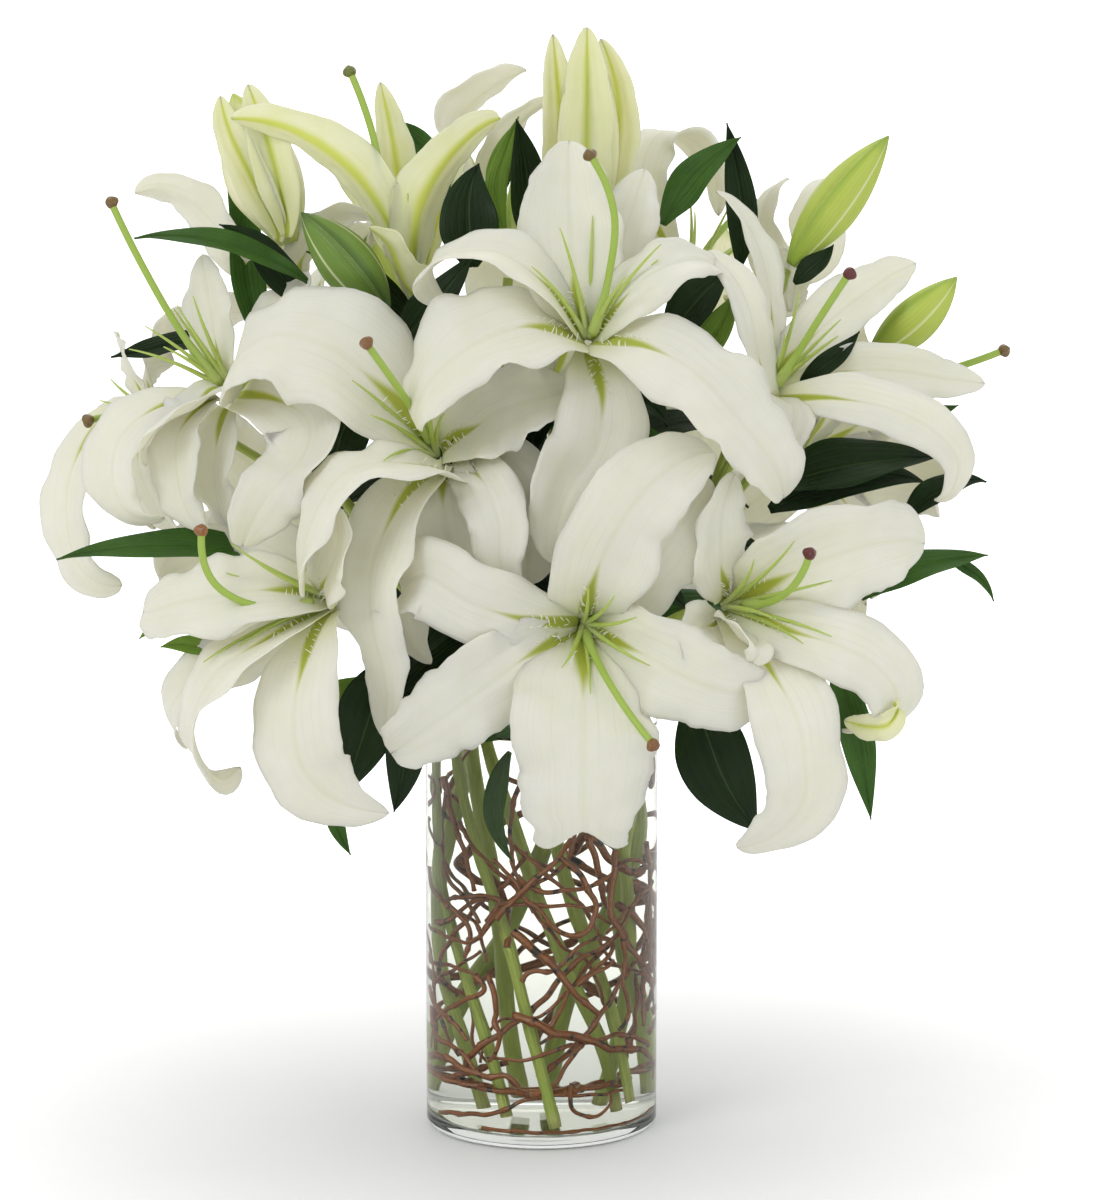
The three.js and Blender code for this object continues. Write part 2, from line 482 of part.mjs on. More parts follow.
// Every solid piece in the order it is fitted: each later one gives way to those before it.
const PIECES = [];
const piece = (name, colour, make) => PIECES.push({ name, colour, make });
for (const [name, runs] of Object.entries(STEMS)) {
  piece(name, 'stem', (grow) => stem(runs, grow));
}
for (const [name, spec] of Object.entries(TWIGS)) {
  piece(name, 'willow', (grow) => twig(spec, grow));
}
for (const [name, points] of Object.entries(STYLES)) {
  piece(name, 'style', (grow) => style(points, grow));
}
for (const [name, [girth, colour, points]] of Object.entries(BUDS)) {
  piece(name, colour, (grow) => tube(points, budRadius(girth), 8, 7, grow));
}
for (const [name, { base, axis, tepals }] of Object.entries(BLOOMS)) {
  piece(name, 'tepal', (grow) => bloom(base, axis, tepals, 5, grow));
}
for (const [name, [base, axis, size, spin]] of Object.entries(SHARED_BLOOMS)) {
  const tepals = withSeen(sharedTepals(base, axis, size, spin), SEEN_TEPALS[name] ?? []);
  piece(name, 'tepal', (grow) => bloom(base, axis, tepals, 4, grow));
}
for (const [name, [half, facing, points]] of Object.entries(LEAVES)) {
  const shape = { cup: 0.25, thick: LEAF_THICK, steps: 5 };
  const side = new THREE.Vector3().crossVectors(vec(facing), vec(points[3]).sub(vec(points[0]))).normalize();
  piece(name, 'leaf', (grow) => blade(points, side, leafWidth(half), { ...shape, grow }));
}

// The largest single body of a solid that fitting may have cut into several.
function largest(solid) {
  const bodies = solid.decompose();
  return bodies.reduce((best, body) => (body.volume() > best.volume() ? body : best));
}

const group = new THREE.Group();
group.name = 'lilies_in_a_vase';

function place(name, colour, solid) {
  const mesh = solid.getMesh();
  const geometry = new THREE.BufferGeometry();
  geometry.setAttribute('position', new THREE.BufferAttribute(new Float32Array(mesh.vertProperties), 3));
  geometry.setIndex(new THREE.BufferAttribute(new Uint32Array(mesh.triVerts), 1));
  geometry.computeVertexNormals();
  const clear = colour === 'glass' || colour === 'water';
  const material = new THREE.MeshStandardMaterial({
    color: COLOURS[colour], roughness: clear ? 0.05 : 0.6, transparent: clear, opacity: clear ? 0.3 : 1,
  });
  const node = new THREE.Mesh(geometry, material);
  node.name = name;
  group.add(node);
}

place('vase', 'glass', vase());
let water = waterBody();
const fitted = [];
for (const { name, colour, make } of PIECES) {
  let solid = make(0);
  const box = solid.boundingBox();
  for (const other of fitted) {
    const apart = [0, 1, 2].some((k) => other.box.min[k] > box.max[k] || other.box.max[k] < box.min[k]);
    if (!apart) solid = solid.subtract(other.grown);
  }
  const kept = largest(solid);
  const grown = make(GAP);
  fitted.push({ grown, box: grown.boundingBox() });
  if (grown.boundingBox().min[2] < WATER_TOP) water = water.subtract(grown);
  place(name, colour, kept);
}
place('water', 'water', largest(water));

export default group;
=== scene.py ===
# %% [markdown]
# # White lilies in a glass cylinder
# The object is a bunch of cut lilies standing in water: a blown glass cylinder, green stems that
# cross inside it, curly willow wound round them, and above the rim the open blooms, the buds and
# the lance-shaped leaves. The bunch is measured in millimetres and turned to metres once, when a
# mesh is made; the studio round it is in metres. +Z is up, -Y is the front and the vase's axis is the Z axis.

import bpy
import numpy as np
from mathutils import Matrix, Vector


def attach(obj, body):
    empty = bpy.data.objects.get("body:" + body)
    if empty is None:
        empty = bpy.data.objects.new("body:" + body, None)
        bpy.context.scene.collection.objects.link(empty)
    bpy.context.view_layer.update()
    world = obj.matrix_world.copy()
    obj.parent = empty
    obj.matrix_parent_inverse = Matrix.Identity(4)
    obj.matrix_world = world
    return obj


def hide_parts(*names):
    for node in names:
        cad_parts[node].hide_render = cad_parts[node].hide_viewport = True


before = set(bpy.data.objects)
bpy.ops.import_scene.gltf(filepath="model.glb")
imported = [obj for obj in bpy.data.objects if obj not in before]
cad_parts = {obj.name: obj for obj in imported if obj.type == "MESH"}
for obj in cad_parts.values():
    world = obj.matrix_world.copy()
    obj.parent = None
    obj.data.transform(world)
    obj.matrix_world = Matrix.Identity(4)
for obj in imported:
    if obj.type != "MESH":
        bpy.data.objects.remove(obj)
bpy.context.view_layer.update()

MM = 0.001
TAU = 2 * np.pi

# %% [markdown]
# ## Curves that a plant part follows
# A petal, leaf or stem is drawn by the few points that its middle passes through. A Catmull-Rom
# curve is the gentlest curve through given points, and spacing its knots by the square root of
# each chord keeps it from looping where two points are close.

# %% Curve through points
def unit(v):
    """Each vector divided by its own length."""
    return v / np.maximum(np.linalg.norm(v, axis=-1, keepdims=True), 1e-9)


def path_through(points, places):
    """Hermite curve through the points, its tangents the blend of the two chords' slopes that
    the centripetal Catmull-Rom rule gives. It is read at places along its length from 0 to 1, or
    at that number of equal steps when places is a whole number."""
    p = np.asarray(points, float)
    knot = np.r_[0, np.cumsum(np.linalg.norm(np.diff(p, axis=0), axis=1) ** 0.5)]
    knot /= knot[-1]
    step = np.diff(knot)[:, None]
    slope = np.diff(p, axis=0) / step
    tangent = np.empty_like(p)
    tangent[1:-1] = (slope[:-1] * step[1:] + slope[1:] * step[:-1]) / (step[1:] + step[:-1])
    tangent[0] = 2 * slope[0] - tangent[1] if len(p) > 2 else slope[0]
    tangent[-1] = 2 * slope[-1] - tangent[-2] if len(p) > 2 else slope[0]
    if np.ndim(places) == 0:
        places = np.linspace(0, 1, places)
    t = np.linspace(0, 1, 12 * len(places))
    k = np.clip(np.searchsorted(knot, t, side="right") - 1, 0, len(p) - 2)
    h = step[k]
    s = ((t - knot[k])[:, None]) / h
    fine = ((2 * s**3 - 3 * s**2 + 1) * p[k] + (s**3 - 2 * s**2 + s) * h * tangent[k]
            + (3 * s**2 - 2 * s**3) * p[k + 1] + (s**3 - s**2) * h * tangent[k + 1])
    reach = np.r_[0, np.cumsum(np.linalg.norm(np.diff(fine, axis=0), axis=1))]
    at = np.asarray(places) * reach[-1]
    return np.stack([np.interp(at, reach, fine[:, i]) for i in range(3)], axis=1)


def ease(x, low, high):
    """Smooth step from 0 at low to 1 at high."""
    s = np.clip((x - low) / (high - low), 0, 1)
    return s * s * (3 - 2 * s)


# %% [markdown]
# ## Meshes from whole arrays
# Every new surface is a grid of points worked out at once. A petal or leaf is a grid laid along
# its midrib and given a thickness, so it closes round its edge; a stem is a grid wrapped into a
# tube and closed by a point at each end. The helper keeps a map called "lay": across the piece
# and along it, both from 0 to 1, so that veins and colour can follow the growth of the plant.


def add_mesh(name, points, quads, tris, lay, material):
    """Object at the origin from points in mm, four- and three-sided faces and a map per point.
    The solid's signed volume says whether the faces point inwards, and then they are turned."""
    a, b, c, d = (points[quads[:, i]] for i in range(4))
    volume = np.sum(a * np.cross(b, c)) + np.sum(a * np.cross(c, d))
    if len(tris):
        e, f, g = (points[tris[:, i]] for i in range(3))
        volume += np.sum(e * np.cross(f, g))
    if volume < 0:
        quads, tris = quads[:, ::-1], tris[:, ::-1]
    corner = np.r_[quads.ravel(), tris.ravel()].astype(np.int32)
    start = np.r_[np.arange(len(quads)) * 4, len(quads) * 4 + np.arange(len(tris)) * 3]
    mesh = bpy.data.meshes.new(name)
    mesh.vertices.add(len(points))
    mesh.vertices.foreach_set("co", (points * MM).astype(np.float32).ravel())
    mesh.loops.add(len(corner))
    mesh.loops.foreach_set("vertex_index", corner)
    mesh.polygons.add(len(start))
    mesh.polygons.foreach_set("loop_start", start.astype(np.int32))
    mesh.update(calc_edges=True)
    mesh.polygons.foreach_set("use_smooth", np.ones(len(start), bool))
    uv = mesh.uv_layers.new(name="lay")
    uv.data.foreach_set("uv", lay[corner].astype(np.float32).ravel())
    mesh.materials.append(material)
    piece = bpy.data.objects.new(name, mesh)
    bpy.context.scene.collection.objects.link(piece)
    return piece


def seat(piece, slot, *nodes):
    """Fixes a piece to the one body and hides the imported solids it stands for; the slot is not used."""
    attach(piece, "root")
    if nodes:
        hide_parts(*nodes)
    return piece


# %% Thin shell from a grid
def shell(grid, thick):
    """Two copies of the grid moved half the thickness along its normals, the thickness falling to
    a third at the side edges, joined round the rim. Returns points, quads, triangles and map."""
    rows, cols = grid.shape[:2]
    normal = unit(np.cross(np.gradient(grid, axis=0), np.gradient(grid, axis=1)))
    v = np.linspace(-1, 1, cols)[None, :, None]
    half = thick / 2 * (1 - 0.67 * v**4)
    points = np.concatenate([(grid + normal * half).reshape(-1, 3), (grid - normal * half).reshape(-1, 3)])
    n = rows * cols
    i = np.arange(n).reshape(rows, cols)
    top = np.stack([i[:-1, :-1], i[1:, :-1], i[1:, 1:], i[:-1, 1:]], -1).reshape(-1, 4)
    under = top[:, ::-1] + n
    rim = np.r_[i[:, 0], i[-1, 1:], i[-2::-1, -1], i[0, -2::-1]][:-1]
    after = np.roll(rim, -1)
    wall = np.stack([after, rim, rim + n, after + n], -1)
    u, w = np.meshgrid(np.linspace(0, 1, rows), np.linspace(0, 1, cols), indexing="ij")
    lay = np.stack([w.ravel(), u.ravel()], -1)
    return points, np.concatenate([top, under, wall]), np.empty((0, 3), int), np.concatenate([lay, lay])


# %% Tube from a path
def tube(path, radius, sides=10, section=None):
    """Rings square to the path, of the radius at each point times the section, which is a factor
    for each angle. The rings are squared to the direction that the path runs least along, so
    they never flip, and each end closes on a point."""
    rows = len(path)
    tangent = unit(np.gradient(path, axis=0))
    spare = np.linalg.eigh(tangent.T @ tangent)[1][:, 0]
    side = unit(np.cross(tangent, spare))
    other = np.cross(tangent, side)
    angle = np.arange(sides) / sides * TAU
    factor = np.ones((rows, sides))
    if section is not None:
        factor = section(np.linspace(0, 1, rows)[:, None], angle[None, :])
    r = (np.broadcast_to(radius, rows)[:, None] * factor)[..., None]
    turn = angle[None, :, None]
    ring = path[:, None] + r * (np.cos(turn) * side[:, None] + np.sin(turn) * other[:, None])
    points = np.concatenate([ring.reshape(-1, 3), path[:1], path[-1:]])
    i = np.arange(rows * sides).reshape(rows, sides)
    j = np.roll(i, -1, axis=1)
    quads = np.stack([i[:-1], j[:-1], j[1:], i[1:]], -1).reshape(-1, 4)
    n = rows * sides
    tris = np.concatenate([np.stack([j[0], i[0], np.full(sides, n)], -1),
                           np.stack([i[-1], j[-1], np.full(sides, n + 1)], -1)])
    u, w = np.meshgrid(np.linspace(0, 1, rows), np.arange(sides) / sides, indexing="ij")
    lay = np.concatenate([np.stack([w.ravel(), u.ravel()], -1), [[0.5, 0]], [[0.5, 1]]])
    return points, quads, tris, lay


def joined(parts):
    """Several (points, quads, tris, lay) sets as one."""
    base = np.cumsum([0] + [len(p[0]) for p in parts[:-1]])
    return (np.concatenate([p[0] for p in parts]),
            np.concatenate([p[1] + b for p, b in zip(parts, base)]),
            np.concatenate([p[2] + b for p, b in zip(parts, base)]).astype(int),
            np.concatenate([p[3] for p in parts]))


# %% [markdown]
# ## Finishes
# Colours are given as the hex values a paint chart would show and turned to the linear light
# values that shading needs. One function adds any node; each finish is then a short list of them.

# %% Node helper
def linear(code, alpha=1.0):
    """sRGB hex to linear: c / 12.92 under 0.04045, else ((c + 0.055) / 1.055) to the power 2.4."""
    c = np.array([int(code[i:i + 2], 16) for i in (1, 3, 5)]) / 255
    low, high = c / 12.92, ((c + 0.055) / 1.055) ** 2.4
    return (*np.where(c <= 0.04045, low, high).tolist(), alpha)


def put(tree, kind, inputs=None, **settings):
    """Adds a node. Settings are its own properties. Inputs go by socket name or number: a node's
    output makes a link, and any other value is set on the socket."""
    made_node = tree.nodes.new(kind)
    for key, value in settings.items():
        setattr(made_node, key, value)
    for key, value in (inputs or {}).items():
        socket = made_node.inputs[key]
        if isinstance(value, bpy.types.NodeSocket):
            tree.links.new(value, socket)
        else:
            socket.default_value = value
    return made_node


def new_finish(name):
    """An empty material with its output node; returns it, its tree and the output."""
    material = bpy.data.materials.new(name)
    material.use_nodes = True
    material.node_tree.nodes.clear()
    out = put(material.node_tree, "ShaderNodeOutputMaterial")
    return material, material.node_tree, out


def ramp_node(tree, factor, stops):
    """Colour ramp with the given (place, hex) stops."""
    ramp = put(tree, "ShaderNodeValToRGB", {0: factor})
    bar = ramp.color_ramp
    bar.elements[0].position, bar.elements[0].color = stops[0][0], linear(stops[0][1])
    bar.elements[1].position, bar.elements[1].color = stops[-1][0], linear(stops[-1][1])
    for place, code in stops[1:-1]:
        bar.elements.new(place).color = linear(code)
    return ramp.outputs["Color"]


def mixed(tree, factor, first, second):
    """Colour mix of two sockets or colours by a factor."""
    return put(tree, "ShaderNodeMix", {0: factor, 6: first, 7: second}, data_type="RGBA").outputs[2]


def sums(tree, operation, a, b=0.0, clamp=False):
    """One step of arithmetic on two sockets or numbers."""
    return put(tree, "ShaderNodeMath", {0: a, 1: b}, operation=operation, use_clamp=clamp).outputs[0]


def lay_axes(tree):
    """The piece's own map as one socket, then its across and along parts, each from 0 to 1."""
    uv = put(tree, "ShaderNodeUVMap", uv_map="lay").outputs[0]
    split = put(tree, "ShaderNodeSeparateXYZ", {0: uv})
    return uv, split.outputs[0], split.outputs[1]


def between(tree, value, low, high, start=0.0, end=1.0):
    """Smooth step of a socket from start at low to end at high."""
    return put(tree, "ShaderNodeMapRange", {0: value, 1: low, 2: high, 3: start, 4: end},
               interpolation_type="SMOOTHSTEP").outputs[0]


def place_in_metres(tree):
    """The Object coordinates socket: each piece sits at the origin, so they are metres from it."""
    return put(tree, "ShaderNodeTexCoord").outputs["Object"]


def cloud(tree, size_mm, detail=2.0):
    """Noise on Object coordinates with lumps of about this size."""
    lumps = {"Vector": place_in_metres(tree), "Scale": 1000 / size_mm, "Detail": detail}
    return put(tree, "ShaderNodeTexNoise", lumps).outputs[0]


# %% [markdown]
# ## Lily petal
# A lily's tepal is a soft white skin over watery cells with air between them: light goes in,
# spreads and comes out again, so shaded sides glow instead of going dark. Fine veins run from
# claw to tip a millimetre or two apart, a furrow lies along the middle, and near the throat the
# furrow is a green honey gland with small white bumps beside it. Subsurface scattering of a few
# millimetres gives the glow; the rest is drawn along and across the petal by its own map.

# %% Petal finish
# Noise cells across a petal, and along it: long thin cells read as veins.
VEIN_CELLS = (44.0, 1.7, 1.0)
# Warts to the metre beside the gland, so they lie about 2 mm apart.
WARTS_PER_METRE = 560.0


def petal_finish(name, throat, white, margin, rib="#D9DDB4", rib_half=0.05, rib_share=0.25):
    """White petal: a green wedge that narrows up the furrow to two fifths of its length, over a
    green tint gone by a quarter; veins as noise drawn out along it; a rib colour down the middle."""
    material, tree, out = new_finish(name)
    uv, across, along = lay_axes(tree)
    off = sums(tree, "ABSOLUTE", sums(tree, "SUBTRACT", across, 0.5))
    mottle = cloud(tree, 14)
    body = mixed(tree, mottle, linear(white), linear(margin))
    body = mixed(tree, between(tree, off, 0.36, 0.5, 0, 0.35), body, linear(margin))
    grain = put(tree, "ShaderNodeMapping", {0: uv, 3: VEIN_CELLS}).outputs[0]
    veins = put(tree, "ShaderNodeTexNoise", {"Vector": grain, "Scale": 1.0, "Detail": 2.0}).outputs[0]
    body = mixed(tree, between(tree, veins, 0.5, 0.75, 0, 0.16), body, linear("#C9C8B4"))
    stripe = between(tree, off, 0.0, rib_half, rib_share, 0)
    body = mixed(tree, sums(tree, "MULTIPLY", stripe, between(tree, along, 0.05, 0.2)), body, linear(rib))
    near = between(tree, along, 0.03, 0.2, 1, 0)
    body = mixed(tree, sums(tree, "MULTIPLY", near, 0.55), body, linear("#DCE2A2"))
    slant = sums(tree, "ADD", off, sums(tree, "MULTIPLY", along, 0.75))
    wedge = between(tree, slant, 0.17, 0.25, 1, 0)
    body = mixed(tree, wedge, body, linear(throat))
    bumps = put(tree, "ShaderNodeTexVoronoi", {"Vector": place_in_metres(tree), "Scale": WARTS_PER_METRE})
    warts = sums(tree, "MULTIPLY", sums(tree, "MULTIPLY", near, 0.7), bumps.outputs[0])
    height = sums(tree, "ADD", sums(tree, "MULTIPLY", veins, 0.9), warts)
    height = sums(tree, "ADD", height, sums(tree, "MULTIPLY", cloud(tree, 6, 3.0), 0.9))
    bump = put(tree, "ShaderNodeBump", {"Height": height, "Distance": 0.00025, "Strength": 0.5})
    shade = put(tree, "ShaderNodeBsdfPrincipled", {
        "Base Color": body, "Roughness": 0.48, "IOR": 1.4, "Specular IOR Level": 0.35,
        "Subsurface Weight": 0.6, "Subsurface Radius": (1.0, 0.92, 0.62), "Subsurface Scale": 0.005,
        "Sheen Weight": 0.12, "Sheen Roughness": 0.5, "Normal": bump.outputs[0]})
    tree.links.new(shade.outputs[0], out.inputs[0])
    return material


# A waxed white skin: bright where it faces the light, cream in its own shade.
white_petal = petal_finish("lily_petal_white", "#A9B44A", "#F4F1DE", "#E9E7CE")
# A petal still greenish on its back, with a broad yellow-green rib down the middle.
young_petal = petal_finish("lily_petal_young_ribbed", "#AFBC4E", "#F1F0CC", "#DCE0A0", "#BECB45", 0.17, 0.85)
print("petal finishes:", white_petal.name, young_petal.name)


# %% [markdown]
# ## Style, filament and stigma
# The seed-bearing style is a smooth waxy green rod ending in a three-lobed sticky knob, ochre, tan,
# rust or dark red. The six filaments round it have had their pollen sacs pinched off, as
# florists do, and taper from white-green to a fine green point.

# %% Rod and knob finishes
def rod_finish(name, root, tip, roughness=0.4):
    """Colour runs along the rod from root to tip, with a faint mottle."""
    material, tree, out = new_finish(name)
    _, _, along = lay_axes(tree)
    body = ramp_node(tree, along, [(0.0, root), (0.35, tip), (1.0, tip)])
    body = mixed(tree, sums(tree, "MULTIPLY", cloud(tree, 3), 0.3), body, linear(root))
    bump = put(tree, "ShaderNodeBump", {"Height": cloud(tree, 1.5), "Distance": 0.0001, "Strength": 0.4})
    shade = put(tree, "ShaderNodeBsdfPrincipled", {
        "Base Color": body, "Roughness": roughness, "Subsurface Weight": 0.15,
        "Subsurface Radius": (0.8, 1.0, 0.4), "Subsurface Scale": 0.001, "Normal": bump.outputs[0]})
    tree.links.new(shade.outputs[0], out.inputs[0])
    return material


def knob_finish(name, code):
    """Sticky stigma: small wet bumps about a millimetre apart."""
    material, tree, out = new_finish(name)
    grain = cloud(tree, 0.9, 3.0)
    body = mixed(tree, grain, linear(code), linear("#2E1A10"))
    bump = put(tree, "ShaderNodeBump", {"Height": grain, "Distance": 0.0003, "Strength": 0.8})
    shade = put(tree, "ShaderNodeBsdfPrincipled", {"Base Color": body, "Roughness": 0.35, "Coat Weight": 0.3,
                                                  "Normal": bump.outputs[0]})
    tree.links.new(shade.outputs[0], out.inputs[0])
    return material


style_green = rod_finish("lily_style_waxy_green", "#B9CA78", "#9DBA48")
filament_green = rod_finish("lily_filament_green", "#DCE3B0", "#AFC455")
papilla_white = rod_finish("lily_papilla_white", "#E9EDC4", "#F4F4E8")
KNOB_CODES = {"tan": "#A9743E", "ochre": "#9A7A3A", "red": "#7A1E24", "rust": "#BC7A36", "green": "#8FA040"}
knobs = {kind: knob_finish("lily_stigma_" + kind, code) for kind, code in KNOB_CODES.items()}
print("knob finishes:", sorted(knobs))


# %% [markdown]
# ## Leaf
# A lily leaf is a stiff lance with seven or so parallel veins sunk into a waxy upper face. The
# wax gives a broad soft shine over a deep green; the veins catch light as pale lines. Veins are
# drawn across the leaf by its map, so that they converge at both ends as real ones do.

# %% Leaf finish
# Eight half waves across the blade are the parallel veins; far finer ones are the ribbing between.
LEAF_VEINS, LEAF_RIBBING = 25.13, 190.0


def leaf_finish(name, deep, light):
    """Deep green between pale veins, lighter along the middle, with a waxed coat."""
    material, tree, out = new_finish(name)
    _, across, _ = lay_axes(tree)
    off = sums(tree, "ABSOLUTE", sums(tree, "SUBTRACT", across, 0.5))
    patch = cloud(tree, 18)
    body = mixed(tree, patch, linear(deep), linear(light))
    furrows = sums(tree, "ABSOLUTE", sums(tree, "SINE", sums(tree, "MULTIPLY", across, LEAF_VEINS)))
    ridge = sums(tree, "POWER", furrows, 9.0)
    body = mixed(tree, sums(tree, "MULTIPLY", ridge, 0.22), body, linear(light))
    body = mixed(tree, between(tree, off, 0.0, 0.022, 0.28, 0), body, linear("#5F8446"))
    fine = sums(tree, "SINE", sums(tree, "MULTIPLY", across, LEAF_RIBBING))
    height = sums(tree, "ADD", sums(tree, "MULTIPLY", ridge, 0.8), sums(tree, "MULTIPLY", fine, 0.12))
    bump = put(tree, "ShaderNodeBump", {"Height": height, "Distance": 0.0004, "Strength": 0.6}, invert=True)
    shade = put(tree, "ShaderNodeBsdfPrincipled", {
        "Base Color": body, "Roughness": 0.42, "Specular IOR Level": 0.22, "Coat Weight": 0.03,
        "Coat Roughness": 0.25, "Subsurface Weight": 0.08, "Subsurface Radius": (0.4, 1.0, 0.2),
        "Subsurface Scale": 0.002, "Normal": bump.outputs[0]})
    tree.links.new(shade.outputs[0], out.inputs[0])
    return material


# The dark tone is the leaf's deep green, darkened further as painted shade.
leaf_tones = {"dark": leaf_finish("lily_leaf_dark_waxed_painted_shade", "#0A1A04", "#1C3610"),
              "mid": leaf_finish("lily_leaf_mid_waxed", "#264611", "#4A742A"),
              "light": leaf_finish("lily_leaf_young_light", "#557A2A", "#86A542")}
print("leaf tones:", list(leaf_tones))


# %% [markdown]
# ## Bud and stem
# A closed bud is three outer petals pressed edge to edge: cream where it is about to open, lime
# where it is young, with a green rib down the back of each petal. A stem is smooth and waxy with
# fine grooves along it, paler where it has been cut.

# %% Bud and stem finishes
def bud_finish(name, root, body_code, rib_code):
    """Green root fading up to the body colour, a green rib on each of three petals and pale seams."""
    material, tree, out = new_finish(name)
    _, across, along = lay_axes(tree)
    body = ramp_node(tree, along, [(0.0, root), (0.4, body_code), (0.85, body_code), (1.0, rib_code)])
    turn = sums(tree, "COSINE", sums(tree, "MULTIPLY", across, 3 * TAU))
    rib = sums(tree, "POWER", sums(tree, "MAXIMUM", turn, 0.0), 4.0)
    body = mixed(tree, sums(tree, "MULTIPLY", rib, 0.8), body, linear(rib_code))
    fine = sums(tree, "SINE", sums(tree, "MULTIPLY", across, 220.0))
    body = mixed(tree, sums(tree, "MULTIPLY", sums(tree, "MAXIMUM", fine, 0.0), 0.12), body, linear(root))
    seam = sums(tree, "POWER", sums(tree, "MAXIMUM", sums(tree, "MULTIPLY", turn, -1.0), 0.0), 60.0)
    body = mixed(tree, sums(tree, "MULTIPLY", seam, 0.75), body, linear("#EEF0C6"))
    height = sums(tree, "ADD", sums(tree, "MULTIPLY", fine, 0.3), cloud(tree, 4, 3.0))
    bump = put(tree, "ShaderNodeBump", {"Height": height, "Distance": 0.0003, "Strength": 0.5})
    shade = put(tree, "ShaderNodeBsdfPrincipled", {
        "Base Color": body, "Roughness": 0.45, "Subsurface Weight": 0.25,
        "Subsurface Radius": (0.9, 1.0, 0.4), "Subsurface Scale": 0.003, "Normal": bump.outputs[0]})
    tree.links.new(shade.outputs[0], out.inputs[0])
    return material


bud_tones = {"pale": bud_finish("lily_bud_cream", "#C6D27C", "#F7F4CE", "#C4D058"),
             "green": bud_finish("lily_bud_lime", "#8DAA38", "#BDCD58", "#93B03C"),
             "deep": bud_finish("lily_bud_green", "#46641E", "#6E8E34", "#3C5C20")}


def stem_finish(name, light, deep):
    """Grooves along the stem, a slow change of green and darker flecks."""
    material, tree, out = new_finish(name)
    _, across, along = lay_axes(tree)
    patch = cloud(tree, 30)
    body = mixed(tree, patch, linear(light), linear(deep))
    groove = sums(tree, "SINE", sums(tree, "MULTIPLY", across, 12 * TAU))
    body = mixed(tree, sums(tree, "MULTIPLY", sums(tree, "MAXIMUM", groove, 0.0), 0.18), body, linear(deep))
    body = mixed(tree, between(tree, along, 0.0, 0.035, 0.75, 0), body, linear("#DAD68E"))
    bump = put(tree, "ShaderNodeBump", {"Height": groove, "Distance": 0.00015, "Strength": 0.5})
    shade = put(tree, "ShaderNodeBsdfPrincipled", {
        "Base Color": body, "Roughness": 0.42, "Subsurface Weight": 0.12,
        "Subsurface Radius": (0.6, 1.0, 0.3), "Subsurface Scale": 0.002, "Normal": bump.outputs[0]})
    tree.links.new(shade.outputs[0], out.inputs[0])
    return material


stem_green = stem_finish("lily_stem_fresh", "#BECA62", "#93A846")

# %% [markdown]
# ## Curly willow
# Thin bark, red-brown and half glossy when wet, with fine streaks, a painted highlight of pale orange on the
# brightest of them, and near-black flecks. The streaks follow the twig, so their noise is drawn on its map.

# %% Bark finish
def bark_finish(name, light, deep):
    """Fine streaks that follow the twig, the brightest of them a painted highlight, a slow change of depth
    and near-black flecks.
    """
    material, tree, out = new_finish(name)
    uv, _, _ = lay_axes(tree)
    stretched = put(tree, "ShaderNodeMapping", {0: uv, 3: (6.0, 60.0, 1.0)}).outputs[0]
    streak_and_highlight = put(tree, "ShaderNodeTexNoise", {"Vector": stretched, "Scale": 2.0, "Detail": 4.0}).outputs[0]
    # The streaks run from deep to light red-brown and then to a pale orange painted highlight.
    body = ramp_node(tree, streak_and_highlight, [(0.3, deep), (0.6, light), (0.8, "#D89A3C")])
    body = mixed(tree, sums(tree, "MULTIPLY", cloud(tree, 9), 0.35), body, linear(deep))
    body = mixed(tree, between(tree, cloud(tree, 4, 1.0), 0.62, 0.68), body, linear("#1C0B06"))
    bump = put(tree, "ShaderNodeBump", {"Height": streak_and_highlight, "Distance": 0.0003, "Strength": 0.7})
    shade = put(tree, "ShaderNodeBsdfPrincipled", {"Base Color": body, "Roughness": 0.38, "Coat Weight": 0.5,
                                                  "Coat Roughness": 0.3, "Normal": bump.outputs[0]})
    tree.links.new(shade.outputs[0], out.inputs[0])
    return material


willow_bark = bark_finish("curly_willow_bark", "#AE621E", "#4E2308")
print("bark:", willow_bark.name)

# %% [markdown]
# ## Glass and water
# Soda glass bends light by 1.5 and water by 1.33. Both are clear, the water with the faint warmth
# it takes from cut stems, so their look is nearly all in the
# bending: the rim and the heel of the vase turn grey, and stems swell and shift behind the curve.
# The glass has a trace of green that shows only through its edge, and lets lamps light what
# stands inside it.

# %% Clear finishes
def clear_finish(name, tint, ior, shade_tint, mirror):
    """A refracting surface that passes lamp light: shadow rays see it as nearly transparent. The
    share of mirror light at each skin is set so that glass against water barely reflects."""
    material, tree, out = new_finish(name)
    ripple = put(tree, "ShaderNodeBump", {
        "Height": cloud(tree, 40, 1.0), "Distance": 0.0002, "Strength": 0.25})
    bend = put(tree, "ShaderNodeBsdfPrincipled", {
        "Base Color": linear(tint), "Roughness": 0.0, "IOR": ior, "Transmission Weight": 1.0,
        "Specular Tint": (mirror, mirror, mirror, 1.0), "Normal": ripple.outputs[0]})
    passing = put(tree, "ShaderNodeBsdfTransparent", {0: linear(shade_tint)})
    ray = put(tree, "ShaderNodeLightPath").outputs["Is Shadow Ray"]
    both = put(tree, "ShaderNodeMixShader", {0: ray, 1: bend.outputs[0], 2: passing.outputs[0]})
    tree.links.new(both.outputs[0], out.inputs[0])
    return material


vase_glass = clear_finish("soda_glass_clear", "#FBFDFC", 1.5, "#F4F8F6", 0.2)
vase_water = clear_finish("still_water", "#F3F2EA", 1.333, "#F6FAF8", 0.05)
print("clear finishes:", vase_glass.name, vase_water.name)

